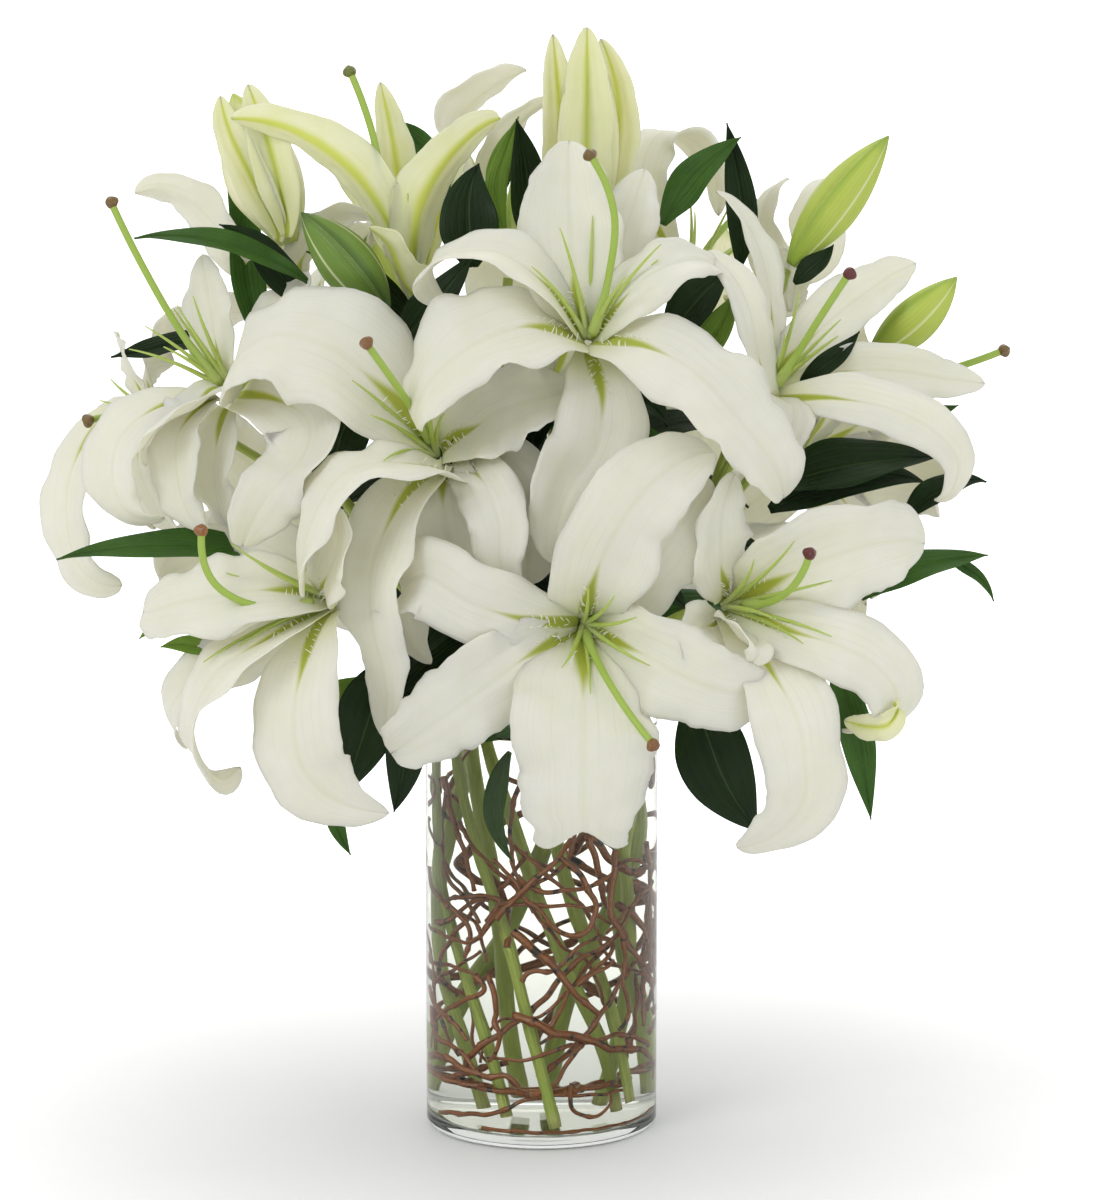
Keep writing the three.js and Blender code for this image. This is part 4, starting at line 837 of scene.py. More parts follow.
# %% Listed blooms
BLOOMS = {
    "bloom_front_low": ((18, -56, 238), (0.1, -0.95, -0.2), [
        (21, 0, 0, 0.3, [[19, -64, 241], [22, -88, 258], [30, -100, 280], [43, -102, 300],
            [58, -94, 311], [73, -84, 314]], {"tip": 0.45}),
        (19, 0, 10, 0.2, [[22, -64, 239], [38, -80, 256], [52, -88, 274], [64, -88, 291],
            [71, -82, 303]]),
        (20, 0, -10, 0.1, [[21, -64, 236], [42, -90, 229], [64, -102, 219], [84, -100, 214],
            [97, -88, 217]], {"tip": 0.42, "ragged": 0.03}),
        (29, 0, 0, 0.1, [[18, -64, 233], [18, -92, 217], [18, -108, 195], [18, -108, 170],
            [17, -98, 146]], {"tip": 0.3, "lobes": 11, "ragged": 0.025}),
        (19, 0, 10, 0.2, [[14, -64, 235], [-6, -88, 227], [-28, -98, 213], [-48, -96, 198],
            [-64, -86, 185]], {"tip": 0.36, "notch": 3, "wave": 0.17, "ragged": 0.045}),
        (17, 0, 20, 0.2, [[15, -64, 239], [-6, -86, 243], [-29, -98, 252], [-50, -94, 263],
            [-61, -82, 252], [-57, -76, 235], [-47, -74, 222]], {"ragged": 0.04}),
    ]),
    "bloom_upper": ((20, -44, 356), (0.05, -0.7, 0.7), [
        (21, 0, 0, 0.3, [[18, -48, 362], [14, -52, 385], [12, -46, 412], [12, -30, 443]]),
        (14, 0, 0, 0.2, [[22, -46, 364], [31, -42, 388], [38, -30, 410], [45, -14, 430]]),
        (14, 0, 0, 0.2, [[24, -50, 362], [38, -60, 380], [53, -62, 391], [67, -54, 394],
            [77, -42, 388]]),
        (12, 0, 20, 0.3, [[16, -50, 362], [2, -62, 384], [-18, -68, 398], [-38, -64, 397],
            [-50, -54, 385], [-40, -50, 373]]),
        (25, 0, 15, 0.2, [[16, -52, 359], [-8, -74, 367], [-30, -84, 360], [-47, -84, 344],
            [-53, -76, 325]], {"tip": 0.42}),
        (21, 0, 0, 0.2, [[24, -52, 358], [45, -76, 358], [66, -88, 347], [84, -90, 329],
            [98, -86, 311], [103, -78, 294]], {"tip": 0.4, "wave": 0.17, "ragged": 0.045}),
        (19, 0, -20, 0.2, [[21, -52, 352], [26, -72, 336], [23, -82, 316], [10, -84, 294],
            [6, -78, 266]]),
    ]),
    "bloom_right": ((97, -22, 330), (0.5, -0.4, 0.75), [
        (9, 0, 0, 0.3, [[100, -24, 353], [100, -20, 374], [95, -14, 397], [88, -8, 410],
            [77, 0, 420]]),
        (9, 0, -50, 0.3, [[99, -38, 332], [94, -46, 350], [90, -50, 370], [84, -48, 384],
            [71, -40, 396]]),
        (13, 0, 0, 0.3, [[104, -24, 343], [118, -20, 357], [137, -12, 373], [153, -4, 383],
            [165, 2, 388]]),
        (11, 40, 40, 0.3, [[113, -30, 337], [134, -34, 344], [156, -34, 344], [176, -28, 340],
            [194, -18, 337]]),
        (11, 50, 50, 0.3, [[106, -36, 332], [126, -52, 334], [150, -58, 330], [169, -56, 320],
            [180, -48, 306], [177, -42, 292], [171, -38, 288]]),
        (9, 0, 40, 0.2, [[102, -38, 333], [108, -52, 330], [107, -62, 321], [101, -62, 307]]),
    ]),
    "bloom_centre_left": ((-44, -42, 306), (-0.35, -0.65, 0.65), [
        (28, 0, 0, 0.1, [[-50, -50, 318], [-66, -62, 338], [-88, -68, 357], [-112, -66, 362],
            [-130, -58, 350], [-133, -50, 332]], {"tip": 0.4, "ragged": 0.03}),
        (20, 0, 30, 0.2, [[-39, -62, 302], [-59, -90, 311], [-80, -98, 308], [-93, -98, 292],
            [-100, -94, 274], [-101, -88, 253]]),
        (23, 0, 0, 0.3, [[-40, -50, 314], [-22, -58, 326], [-2, -62, 334],
            [14, -58, 338]], {"tip": 0.4, "ragged": 0.04}),
        (13, 0, 0, 0.2, [[-34, -58, 306], [-24, -80, 300], [-18, -90, 284], [-17, -90, 267],
            [-11, -84, 252]]),
        (20, 0, 20, 0.2, [[-46, -58, 304], [-62, -80, 290], [-72, -86, 266], [-71, -84, 240],
            [-66, -80, 215], [-68, -74, 190]], {"ragged": 0.04}),
        (20, 0, 0, 0.2, [[-42, -58, 304], [-42, -72, 288], [-37, -76, 268], [-26, -72, 248]]),
        (20, 0, 0, 0.2, [[-36, -52, 308], [-22, -62, 304], [-10, -66, 290], [-6, -64, 272],
            [-6, -58, 254]]),
    ]),
    "bloom_left": ((-132, -20, 330), (-0.5, -0.4, 0.75), [
        (12, 0, 0, 0.3, [[-139, -22, 343], [-143, -18, 358], [-146, -10, 373], [-149, 0, 392]]),
        (14, 0, 30, 0.3, [[-142, -34, 336], [-151, -46, 330], [-162, -52, 325], [-169, -50, 316],
            [-171, -44, 304]]),
        (15, 0, -40, 0.2, [[-150, -32, 332], [-168, -40, 328], [-182, -46, 317], [-186, -46, 300],
            [-180, -42, 284], [-164, -38, 280]], {"tip": 0.45, "ragged": 0.03}),
        (15, 0, 0, 0.2, [[-145, -34, 330], [-157, -44, 318], [-158, -50, 302], [-154, -50, 287],
            [-146, -46, 275]], {"tip": 0.45}),
        (17, 0, 10, 0.3, [[-130, -42, 334], [-114, -56, 334], [-100, -66, 326], [-101, -72, 313],
            [-111, -76, 301], [-121, -74, 287], [-128, -68, 272]], {"tip": 0.42, "ragged": 0.03}),
        (16, 0, 0, 0.3, [[-128, -20, 338], [-118, -16, 356], [-112, -8, 372], [-104, 4, 384]]),
        (15, 0, 0, 0.2, [[-137, -28, 326], [-141, -36, 314], [-143, -38, 300], [-141, -36, 287],
            [-136, -30, 274]], {"tip": 0.45}),
    ]),
    "bloom_left_low": ((-84, -66, 248), (-0.8, -0.55, 0.15), [
        (20, 30, 20, 0.2, [[-94, -70, 251], [-118, -84, 256], [-141, -86, 252], [-160, -78, 247],
            [-171, -66, 243]], {"tip": 0.4}),
        (16, 0, 20, 0.2, [[-98, -74, 243], [-117, -92, 235], [-138, -98, 222], [-149, -96, 201],
            [-146, -90, 183], [-137, -84, 173], [-129, -80, 178]]),
        (20, -15, -45, 0.1, [[-94, -76, 240], [-101, -96, 225], [-104, -106, 205], [-101, -106, 184],
            [-87, -98, 167], [-65, -90, 160]], {"tip": 0.66, "ragged": 0.025}),
        (14, 0, 0, 0.2, [[-93, -78, 254], [-89, -90, 267], [-86, -96, 278], [-86, -94, 292]]),
        (15, 0, 0, 0.2, [[-92, -58, 252], [-112, -50, 266], [-130, -38, 274], [-146, -24, 276]]),
        (16, 0, 0, 0.2, [[-90, -60, 244], [-118, -54, 229], [-145, -48, 214], [-161, -46, 197],
            [-154, -42, 180]], {"tip": 0.42}),
    ]),
    "bloom_far_left": ((-170, 4, 322), (-0.85, 0.1, 0.1), [
        (13, -55, -55, 0.2, [[-190, 0, 321], [-202, -8, 309], [-209, -14, 289], [-208, -14, 265],
            [-200, -10, 250], [-186, -6, 246]], {"tip": 0.42}),
        (11, 0, 0, 0.2, [[-172, 10, 328], [-178, 28, 336], [-176, 48, 340], [-168, 66, 338]]),
        (11, 0, 0, 0.2, [[-172, 8, 322], [-190, 26, 318], [-204, 42, 306], [-206, 58, 290]]),
        (11, 0, 0, 0.2, [[-172, 10, 320], [-182, 28, 304], [-184, 40, 284], [-176, 48, 264]]),
        (11, 0, 0, 0.2, [[-176, 4, 330], [-182, 4, 340], [-186, 12, 348], [-188, 24, 350]]),
        (13, -40, -40, 0.2, [[-176, -2, 318], [-178, -6, 302], [-172, -8, 284], [-160, -6, 270]]),
    ]),
    "bloom_right_low": ((76, -56, 244), (0.6, -0.75, 0.2), [
        (22, 20, 10, 0.2, [[86, -62, 249], [108, -80, 262], [131, -86, 272], [150, -80, 276],
            [164, -68, 273]], {"tip": 0.42}),
        (15, 10, 40, 0.2, [[86, -66, 243], [106, -84, 238], [127, -90, 232], [144, -86, 222],
            [152, -80, 209], [149, -74, 197], [138, -68, 192], [130, -64, 191]]),
        (18, 10, 35, 0.12, [[82, -68, 240], [97, -90, 223], [107, -102, 206], [111, -106, 188],
            [111, -102, 168], [101, -94, 152], [84, -86, 144]], {"tip": 0.42}),
        (15, 0, 0, 0.2, [[79, -64, 251], [76, -80, 270], [77, -86, 288], [82, -82, 305]]),
        (11, 0, 0, 0.3, [[75, -70, 239], [68, -86, 239], [63, -94, 233], [67, -94, 224]]),
        (11, 0, 0, 0.3, [[81, -70, 239], [86, -92, 236], [92, -98, 232], [88, -96, 225]]),
    ]),
    "bloom_top_left": ((-54, -8, 366), (-0.1, -0.15, 1), [
        (11, 70, 70, 0.5, [[-58, -8, 379], [-64, -14, 402], [-77, -16, 425], [-94, -16, 440],
            [-113, -12, 449], [-135, -8, 452]], {"tip": 0.45}),
        (9, 0, 0, 0.5, [[-58, -2, 379], [-61, 4, 405], [-64, 8, 433], [-71, 14, 467]]),
        (11, -70, -70, 0.5, [[-56, -10, 382], [-56, -14, 396], [-53, -18, 415], [-42, -18, 434],
            [-27, -12, 448], [-18, -8, 452]], {"tip": 0.42}),
        (12, 0, 0, 0.5, [[-55, -14, 374], [-62, -24, 388], [-66, -28, 398], [-74, -30, 406]]),
        (9, 0, 0, 0.5, [[-53, 2, 376], [-48, 16, 400], [-40, 28, 426], [-28, 38, 450]]),
        (10, 0, 0, 0.5, [[-57, 2, 376], [-68, 18, 400], [-84, 30, 422], [-104, 38, 438]]),
    ]),
}
for seed, (bloom_name, (base, facing, rows)) in enumerate(BLOOMS.items()):
    skin = young_petal if bloom_name == "bloom_top_left" else white_petal
    open_bloom(bloom_name, base, facing, rows, 11 + seed, skin)
# One tepal's tip has rolled right over and shows its yellow-ribbed back.
TURNED_TIP = (6, 0, 0, 0.3, [[152, -83, 203], [148, -84, 197], [140, -82, 196], [130, -78, 198]])
grid = tepal_grid(np.array((150.0, -80, 209)), np.array((0, -1.0, 0.1)), TURNED_TIP, 97)
seat(add_mesh("bloom_right_low_turned_tip", *shell(grid, TEPAL_THICK), young_petal), "tepal_white")
print("hand-set blooms:", len(BLOOMS), "tepals:", sum(len(rows) for _, _, rows in BLOOMS.values()))

# %% [markdown]
# Seven more blooms look out from behind and above. They share one open form, spread by rule:
# inner tepals longer and broader than the outer three, sixty degrees apart about the facing.

# %% Blooms set by rule
SHARED = {
    "bloom_back_top": ((-14, 54, 388), (0, 0.5, 0.87), 0.85, 10),
    "bloom_back_top_right": ((64, 56, 368), (0.4, 0.5, 0.75), 0.9, 35),
    "bloom_back_top_left": ((-104, 54, 362), (-0.55, 0.55, 0.6), 0.9, 0),
    "bloom_back_right": ((118, 46, 296), (0.85, 0.5, 0.1), 0.85, 20),
    "bloom_back_centre": ((0, 94, 322), (0, 1, 0.25), 1.0, 5),
    "bloom_back_left_low": ((-92, 80, 262), (-0.6, 0.8, -0.05), 1.0, 40),
    "bloom_back_right_low": ((68, 90, 250), (0.4, 0.9, -0.1), 1.0, 15),
}
# A ruled tepal's midrib: millimetres along the facing and away from it.
RIB = np.array([[6, 8], [26, 24], [42, 46], [44, 66], [32, 82]])
# Tepals of these blooms that show over the bunch; each takes the place of the ruled one nearest it.
SEEN = {
    "bloom_back_top": [(13, 0, 0, 0.3, [[-32, 60, 431], [-39, 62, 446], [-29, 66, 460], [-7, 70, 471]]),
                       (8, 0, 0, 0.5, [[-23, 50, 427], [-16, 48, 440], [-5, 46, 453], [8, 46, 458]])],
    "bloom_back_top_right": [
        (12, 0, 0, 0.2, [[57, 46, 391], [49, 50, 411], [47, 54, 429], [54, 58, 442],
            [67, 60, 441], [77, 58, 429], [80, 54, 406]]),
        (12, 0, 0, 0.2, [[111, 30, 370], [102, 36, 386], [99, 42, 403], [103, 44, 417], [111, 44, 423]]),
        (9, 0, 0, 0.3, [[105, 20, 371], [110, 10, 388], [113, 6, 388], [112, 4, 378], [110, 2, 367]]),
        (14, 0, 0, 0.2, [[123, 40, 391], [122, 44, 407], [124, 48, 418], [133, 52, 423]])],
    "bloom_back_top_left": [
        (12, 0, 0, 0.2, [[-139, 30, 392], [-150, 34, 408], [-166, 36, 419], [-182, 38, 417]]),
        (12, 0, 0, 0.2, [[-108, 24, 388], [-97, 20, 403], [-85, 18, 410], [-75, 16, 405], [-77, 16, 393]]),
        (10, 0, 0, 0.2, [[-112, 30, 387], [-116, 28, 397], [-114, 28, 403], [-108, 28, 407]])],
}
shared_facing = {}


def rule_rows(base, facing, size, spin, seed, seen=()):
    """Rib points = base + along * facing + away * radial, jittered by up to 4 mm so that no two
    tepals match."""
    rng = np.random.default_rng(seed)
    out = unit(np.asarray(facing, float))
    first = unit(np.cross(out, (1, 0, 0) if abs(out[2]) > 0.9 else (0, 0, 1)))
    second = np.cross(out, first)
    rows = []
    for k in range(6):
        a = np.radians(spin + 60 * k + rng.uniform(-7, 7))
        radial = first * np.cos(a) + second * np.sin(a)
        lift = 1.0 if k % 2 == 0 else 0.85
        along, away = RIB[:, :1] * size * lift, RIB[:, 1:] * size
        droop = np.linspace(0, 1, len(RIB))[:, None] ** 2 * rng.uniform(-4, 4, 3)
        rib = np.asarray(base) + along * out + away * radial + droop
        rows.append([(21 if k % 2 == 0 else 15) * size, 0, rng.uniform(-10, 10), 0.2, rib.tolist()])
    free = list(range(6))
    for row in seen:
        gap = [np.linalg.norm(np.subtract(rows[k][4][2], row[4][2])) for k in free]
        rows[free.pop(int(np.argmin(gap)))] = row
    return rows


for seed, (bloom_name, (base, facing, size, spin)) in enumerate(SHARED.items()):
    rows = rule_rows(base, facing, size, spin, seed, SEEN.get(bloom_name, ()))
    shared_facing[bloom_name] = open_bloom(
        bloom_name, base, facing, rows, 31 + seed, white_petal)
print("blooms set by rule:", len(SHARED))

# %% [markdown]
# ## Hearts of the blooms
# From each throat come six filaments and one longer style with its stigma. The filaments of the
# front blooms end at tips given one by one; the rest spread about twenty degrees round the facing.

# %% Hairs of the throat
# Rows of a tepal's grid that carry hairs.
HAIRY = np.linspace(3, 9, 8).round().astype(int)


def throat_hairs(name, base, facing, rows, seed):
    """Two rows of fine white hairs beside each furrow, 2 to 3.6 mm long, leaning over it; they
    stand between about a tenth and a quarter of the way up each tepal."""
    rng = np.random.default_rng(seed)
    out = unit(np.asarray(facing, float))
    parts = []
    for k, row in enumerate(rows):
        grid = tepal_grid(np.asarray(base, float), out, row, 7 * (11 + seed) + k)
        up = unit(np.cross(np.gradient(grid, axis=0), np.gradient(grid, axis=1)))
        up *= np.sign(up[10, COLS // 2] @ out)
        for i in HAIRY:
            for j in (COLS // 2 - 2, COLS // 2 + 2):
                root = grid[i, j] + rng.uniform(-0.4, 0.4, 3)
                inward = unit(grid[i, COLS // 2] - grid[i, j])
                long = rng.uniform(2.0, 3.6)
                tip = root + long * (0.9 * up[i, j] + 0.25 * inward + 0.25 * rng.normal(size=3))
                path = path_through([root - 0.4 * up[i, j], (root + tip) / 2 + 0.3 * up[i, j], tip], 5)
                parts.append(tube(path, np.array([0.34, 0.3, 0.26, 0.2, 0.12]), 4))
    return seat(add_mesh(name, *joined(parts), papilla_white), "style_green")


SHOWN = ["bloom_front_low", "bloom_right_low", "bloom_left_low", "bloom_upper", "bloom_centre_left"]
for seed, bloom_name in enumerate(BLOOMS):
    if bloom_name in SHOWN:
        base, facing, rows = BLOOMS[bloom_name]
        throat_hairs("hairs" + bloom_name[5:], base, facing, rows, seed)
print("throats with hairs:", len(SHOWN))

# %% Filaments and styles
# The middle line of each style, and below them the six filament tips of each throat.
STYLES = {
    "front_low": [[19, -64, 234], [26, -92, 222], [36, -108, 208], [47, -118, 195]],
    "upper": [[22, -52, 362], [29, -62, 388], [31, -62, 414], [21, -58, 438]],
    "right": [[102, -34, 338], [110, -46, 352], [120, -56, 370], [131, -62, 388]],
    "centre_left": [[-48, -52, 316], [-54, -70, 330], [-62, -84, 344], [-73, -94, 361]],
    "left": [[-140, -26, 338], [-156, -30, 360], [-172, -30, 388], [-186, -26, 416]],
    "left_low": [[-98, -78, 249], [-124, -94, 251], [-139, -98, 262], [-143, -96, 282]],
    "right_low": [[88, -68, 247], [100, -88, 252], [108, -98, 261], [113, -102, 273]],
    "top_left": [[-58, -8, 384], [-68, -14, 420], [-74, -14, 448], [-83, -10, 472]],
}
TIPS = {
    "bloom_front_low": [(31, -104, 256), (40, -106, 247), (46, -104, 226),
        (9, -96, 224), (21, -98, 213), (20, -98, 258)],
    "bloom_upper": [(8, -70, 408), (51, -66, 401), (50, -60, 394),
        (-4, -72, 392), (36, -78, 388), (22, -50, 412)],
    "bloom_right": [(112, -50, 349), (117, -48, 353), (128, -44, 360),
        (104, -58, 362), (130, -30, 366), (112, -28, 378)],
    "bloom_centre_left": [(-72, -84, 330), (-46, -80, 331), (-41, -76, 330),
        (-66, -96, 312), (-80, -76, 344), (-56, -66, 348)],
    "bloom_left": [(-150, -40, 377), (-157, -40, 373), (-171, -40, 364),
        (-178, -40, 354), (-163, -40, 355), (-160, -22, 370)],
    "bloom_left_low": [(-131, -95, 277), (-119, -95, 268), (-140, -95, 240),
        (-128, -95, 233), (-143, -95, 226), (-134, -80, 262)],
    "bloom_right_low": [(90, -95, 270), (107, -95, 278), (123, -95, 261),
        (123, -95, 237), (111, -95, 234), (98, -104, 246)],
    "bloom_top_left": [(-66, -16, 428), (-58, -20, 420), (-72, -8, 420),
        (-50, -8, 424), (-76, -18, 412), (-62, 0, 426)],
}
KNOB_OF = {"front_low": "tan", "upper": "ochre", "right": "red", "centre_left": "tan", "left": "ochre",
           "left_low": "rust", "right_low": "red", "top_left": "green"}


def filaments(name, base, facing, tips):
    """Six tapered rods that leave the throat along the facing and bow gently to their tips."""
    out = unit(np.asarray(facing, float))
    parts = []
    for tip in np.asarray(tips, float):
        start = np.asarray(base) + 3 * out + 0.04 * (tip - base)
        reach = np.linalg.norm(tip - start)
        middle = start + 0.5 * (tip - start) + 0.1 * reach * out
        path = path_through([start, middle, tip], 22)
        parts.append(tube(path, 0.25 + 1.25 * np.linspace(1, 0, 22) ** 0.8, 8))
    return seat(add_mesh(name, *joined(parts), filament_green), "style_green")


def pistil(name, points, knob, *nodes):
    """Ovary 5 mm thick drawing in to a smooth style of 3.2 mm, and a three-lobed stigma at its end
    that swells to about 6 mm."""
    path = path_through(points, 40)
    t = np.linspace(0, 1, 40)
    radius = 1.6 + 0.9 * (1 - ease(t, 0.05, 0.3))
    seat(add_mesh("style_" + name, *tube(path, radius, 12), style_green), "style_green", *nodes)
    heading = unit(path[-1] - path[-4])
    head = path_through([path[-1] - 2.5 * heading, path[-1], path[-1] + 3.2 * heading], 12)
    swell = 0.84 * np.array([1.2, 1.9, 2.5, 3.0, 3.3, 3.4, 3.4, 3.3, 3.0, 2.5, 1.6, 0.5])
    lobes = lambda s, a: 1 + 0.2 * np.cos(3 * a) * ease(s, 0.1, 0.5)
    seat(add_mesh("stigma_" + name, *tube(head, swell, 24, lobes), knobs[knob]), "style_green", *nodes)


FILAMENT_REACH = 52


def spread_tips(base, facing, size, seed):
    """Six tips 52 mm out along cones of about twenty degrees about the facing."""
    rng = np.random.default_rng(seed)
    out = unit(np.asarray(facing, float))
    first = unit(np.cross(out, (0.3, 0.2, 1)))
    second = np.cross(out, first)
    a = np.radians(np.arange(6) * 60 + rng.uniform(-14, 14, 6))[:, None]
    open_by = np.radians(rng.uniform(16, 27, 6))[:, None]
    away = np.cos(a) * first + np.sin(a) * second
    return np.asarray(base) + FILAMENT_REACH * size * (np.cos(open_by) * out + np.sin(open_by) * away)


for bloom_name, tips in TIPS.items():
    base, facing, _ = BLOOMS[bloom_name]
    filaments("filaments" + bloom_name[5:], base, facing, tips)
for short, points in STYLES.items():
    pistil(short, points, KNOB_OF[short], "pistil_" + short)
for seed, (bloom_name, (base, facing, size, spin)) in enumerate(SHARED.items()):
    out = shared_facing[bloom_name]
    filaments("filaments" + bloom_name[5:], base, facing, spread_tips(base, facing, size, seed))
    seat_of = np.asarray(base, float)
    side = unit(np.cross(out, (0.4, 0.1, 1)))
    points = [seat_of + 3 * out, seat_of + 34 * out * size, seat_of + 66 * out * size + 9 * side]
    pistil(bloom_name[6:], points, ["ochre", "red", "tan", "rust"][seed % 4])
# The far left bloom has turned its face to the back.
base = BLOOMS["bloom_far_left"][0]
turned_away = (-0.55, 0.8, -0.1)
filaments("filaments_far_left", base, turned_away, spread_tips(base, turned_away, 0.7, 50))
pistil("far_left", [(-176, 2, 322), (-188, -10, 322), (-198, -20, 321)], "ochre")
pistil("back_right_side", [(150, 26, 332), (180, 20, 339), (206, 20, 348)], "ochre")
print("hearts:", len(TIPS) + len(SHARED) + 1)

# %% [markdown]
# ## Buds
# Buds stand above the bunch on their own stalks: three cream ones, two of which have begun to
# part, and green ones that would open last. A closed bud is three-sided and swells just below its
# middle.

# %% Buds
BUDS = {
    "bud_top": (15, "pale", [[20, 10, 394], [21, 10, 425], [21, 10, 458], [19, 10, 491]]),
    "bud_left_big": (17, "pale", [[-112, 16, 396], [-119, 16, 418], [-127, 16, 440], [-136, 16, 462]]),
    "bud_left_green": (12, "deep", [[-68, -24, 370], [-78, -30, 384], [-90, -30, 398],
        [-104, -26, 412]]),
    "bud_right_tall": (11, "green", [[110, -4, 388], [121, -6, 405], [136, -6, 425], [152, -2, 444]]),
    "bud_right": (10, "green", [[146, 4, 348], [157, 2, 357], [169, 0, 368], [183, 2, 382]]),
    "bud_back_left": (11, "green", [[-54, 80, 342], [-64, 94, 358], [-74, 108, 376], [-82, 120, 396]]),
    "bud_back_right": (11, "pale", [[62, 92, 344], [72, 106, 358], [80, 120, 376], [86, 130, 398]]),
}


def bud(name, girth, tone, points):
    """Radius rises to t = 0.45 and closes to the tip; three lobes of 8 percent make it trigonal."""
    path = path_through(points, 44)
    t = np.linspace(0, 1, 44)
    rise = 0.25 + 0.75 * np.sin(np.clip(t / 0.45, 0, 1) * np.pi / 2)
    fall = np.cos(np.clip((t - 0.45) / 0.55, 0, 1) * np.pi / 2) ** 0.8
    lobes = lambda s, a: 1 + 0.08 * np.cos(3 * a) * ease(s, 0.1, 0.4)
    radius = np.maximum(girth * rise * fall, 0.5)
    piece = add_mesh(name + "_closed", *tube(path, radius, 36, lobes), bud_tones[tone])
    return seat(piece, "bud_pale" if tone == "pale" else "bud_green", name)


for bud_name, (girth, tone, points) in BUDS.items():
    bud(bud_name, girth, tone, points)
# Outer tepals that have parted from a bud about to open, in rows as for a bloom.
OPENING = {
    "bud_top": [(8, 0, 0, 0.5, [[16, 6, 402], [10, 4, 426], [8, 5, 458], [5, 8, 488]], {"wave": 0.04}),
                (11, 0, 0, 0.6, [[20, 2, 402], [20, -4, 428], [20, -3, 462], [20, 5, 491]], {"wave": 0.03}),
                (9, 0, 0, 0.5, [[24, 6, 402], [31, 4, 428], [34, 5, 456], [26, 8, 486]], {"wave": 0.04})],
    "bud_left_big": [
        (8, 0, 0, 0.6, [[-116, 6, 402], [-126, 0, 424], [-136, 2, 444], [-141, 8, 461]], {"wave": 0.03}),
        (9, 0, 0, 0.6, [[-112, 4, 404], [-116, -2, 428], [-122, 2, 448], [-129, 10, 466]], {"wave": 0.03})],
}
for bud_name, rows in OPENING.items():
    for k, row in enumerate(rows):
        start = np.asarray(row[4][0], float) - (0, 0, 8)
        grid = tepal_grid(start, np.array((0, -1.0, 0.1)), row, 90 + k)
        seat(add_mesh(f"{bud_name}_tepal_{k + 1}", *shell(grid, 1.0), young_petal), "bud_pale")
print("buds:", len(BUDS))

# %% [markdown]
# ## Leaves
# Leaves leave the stalks under the blooms and lean out through the bunch. Those in view follow
# their own midribs; a fan of plain ones fills the shade between the stalks, as it does in a
# full bunch.

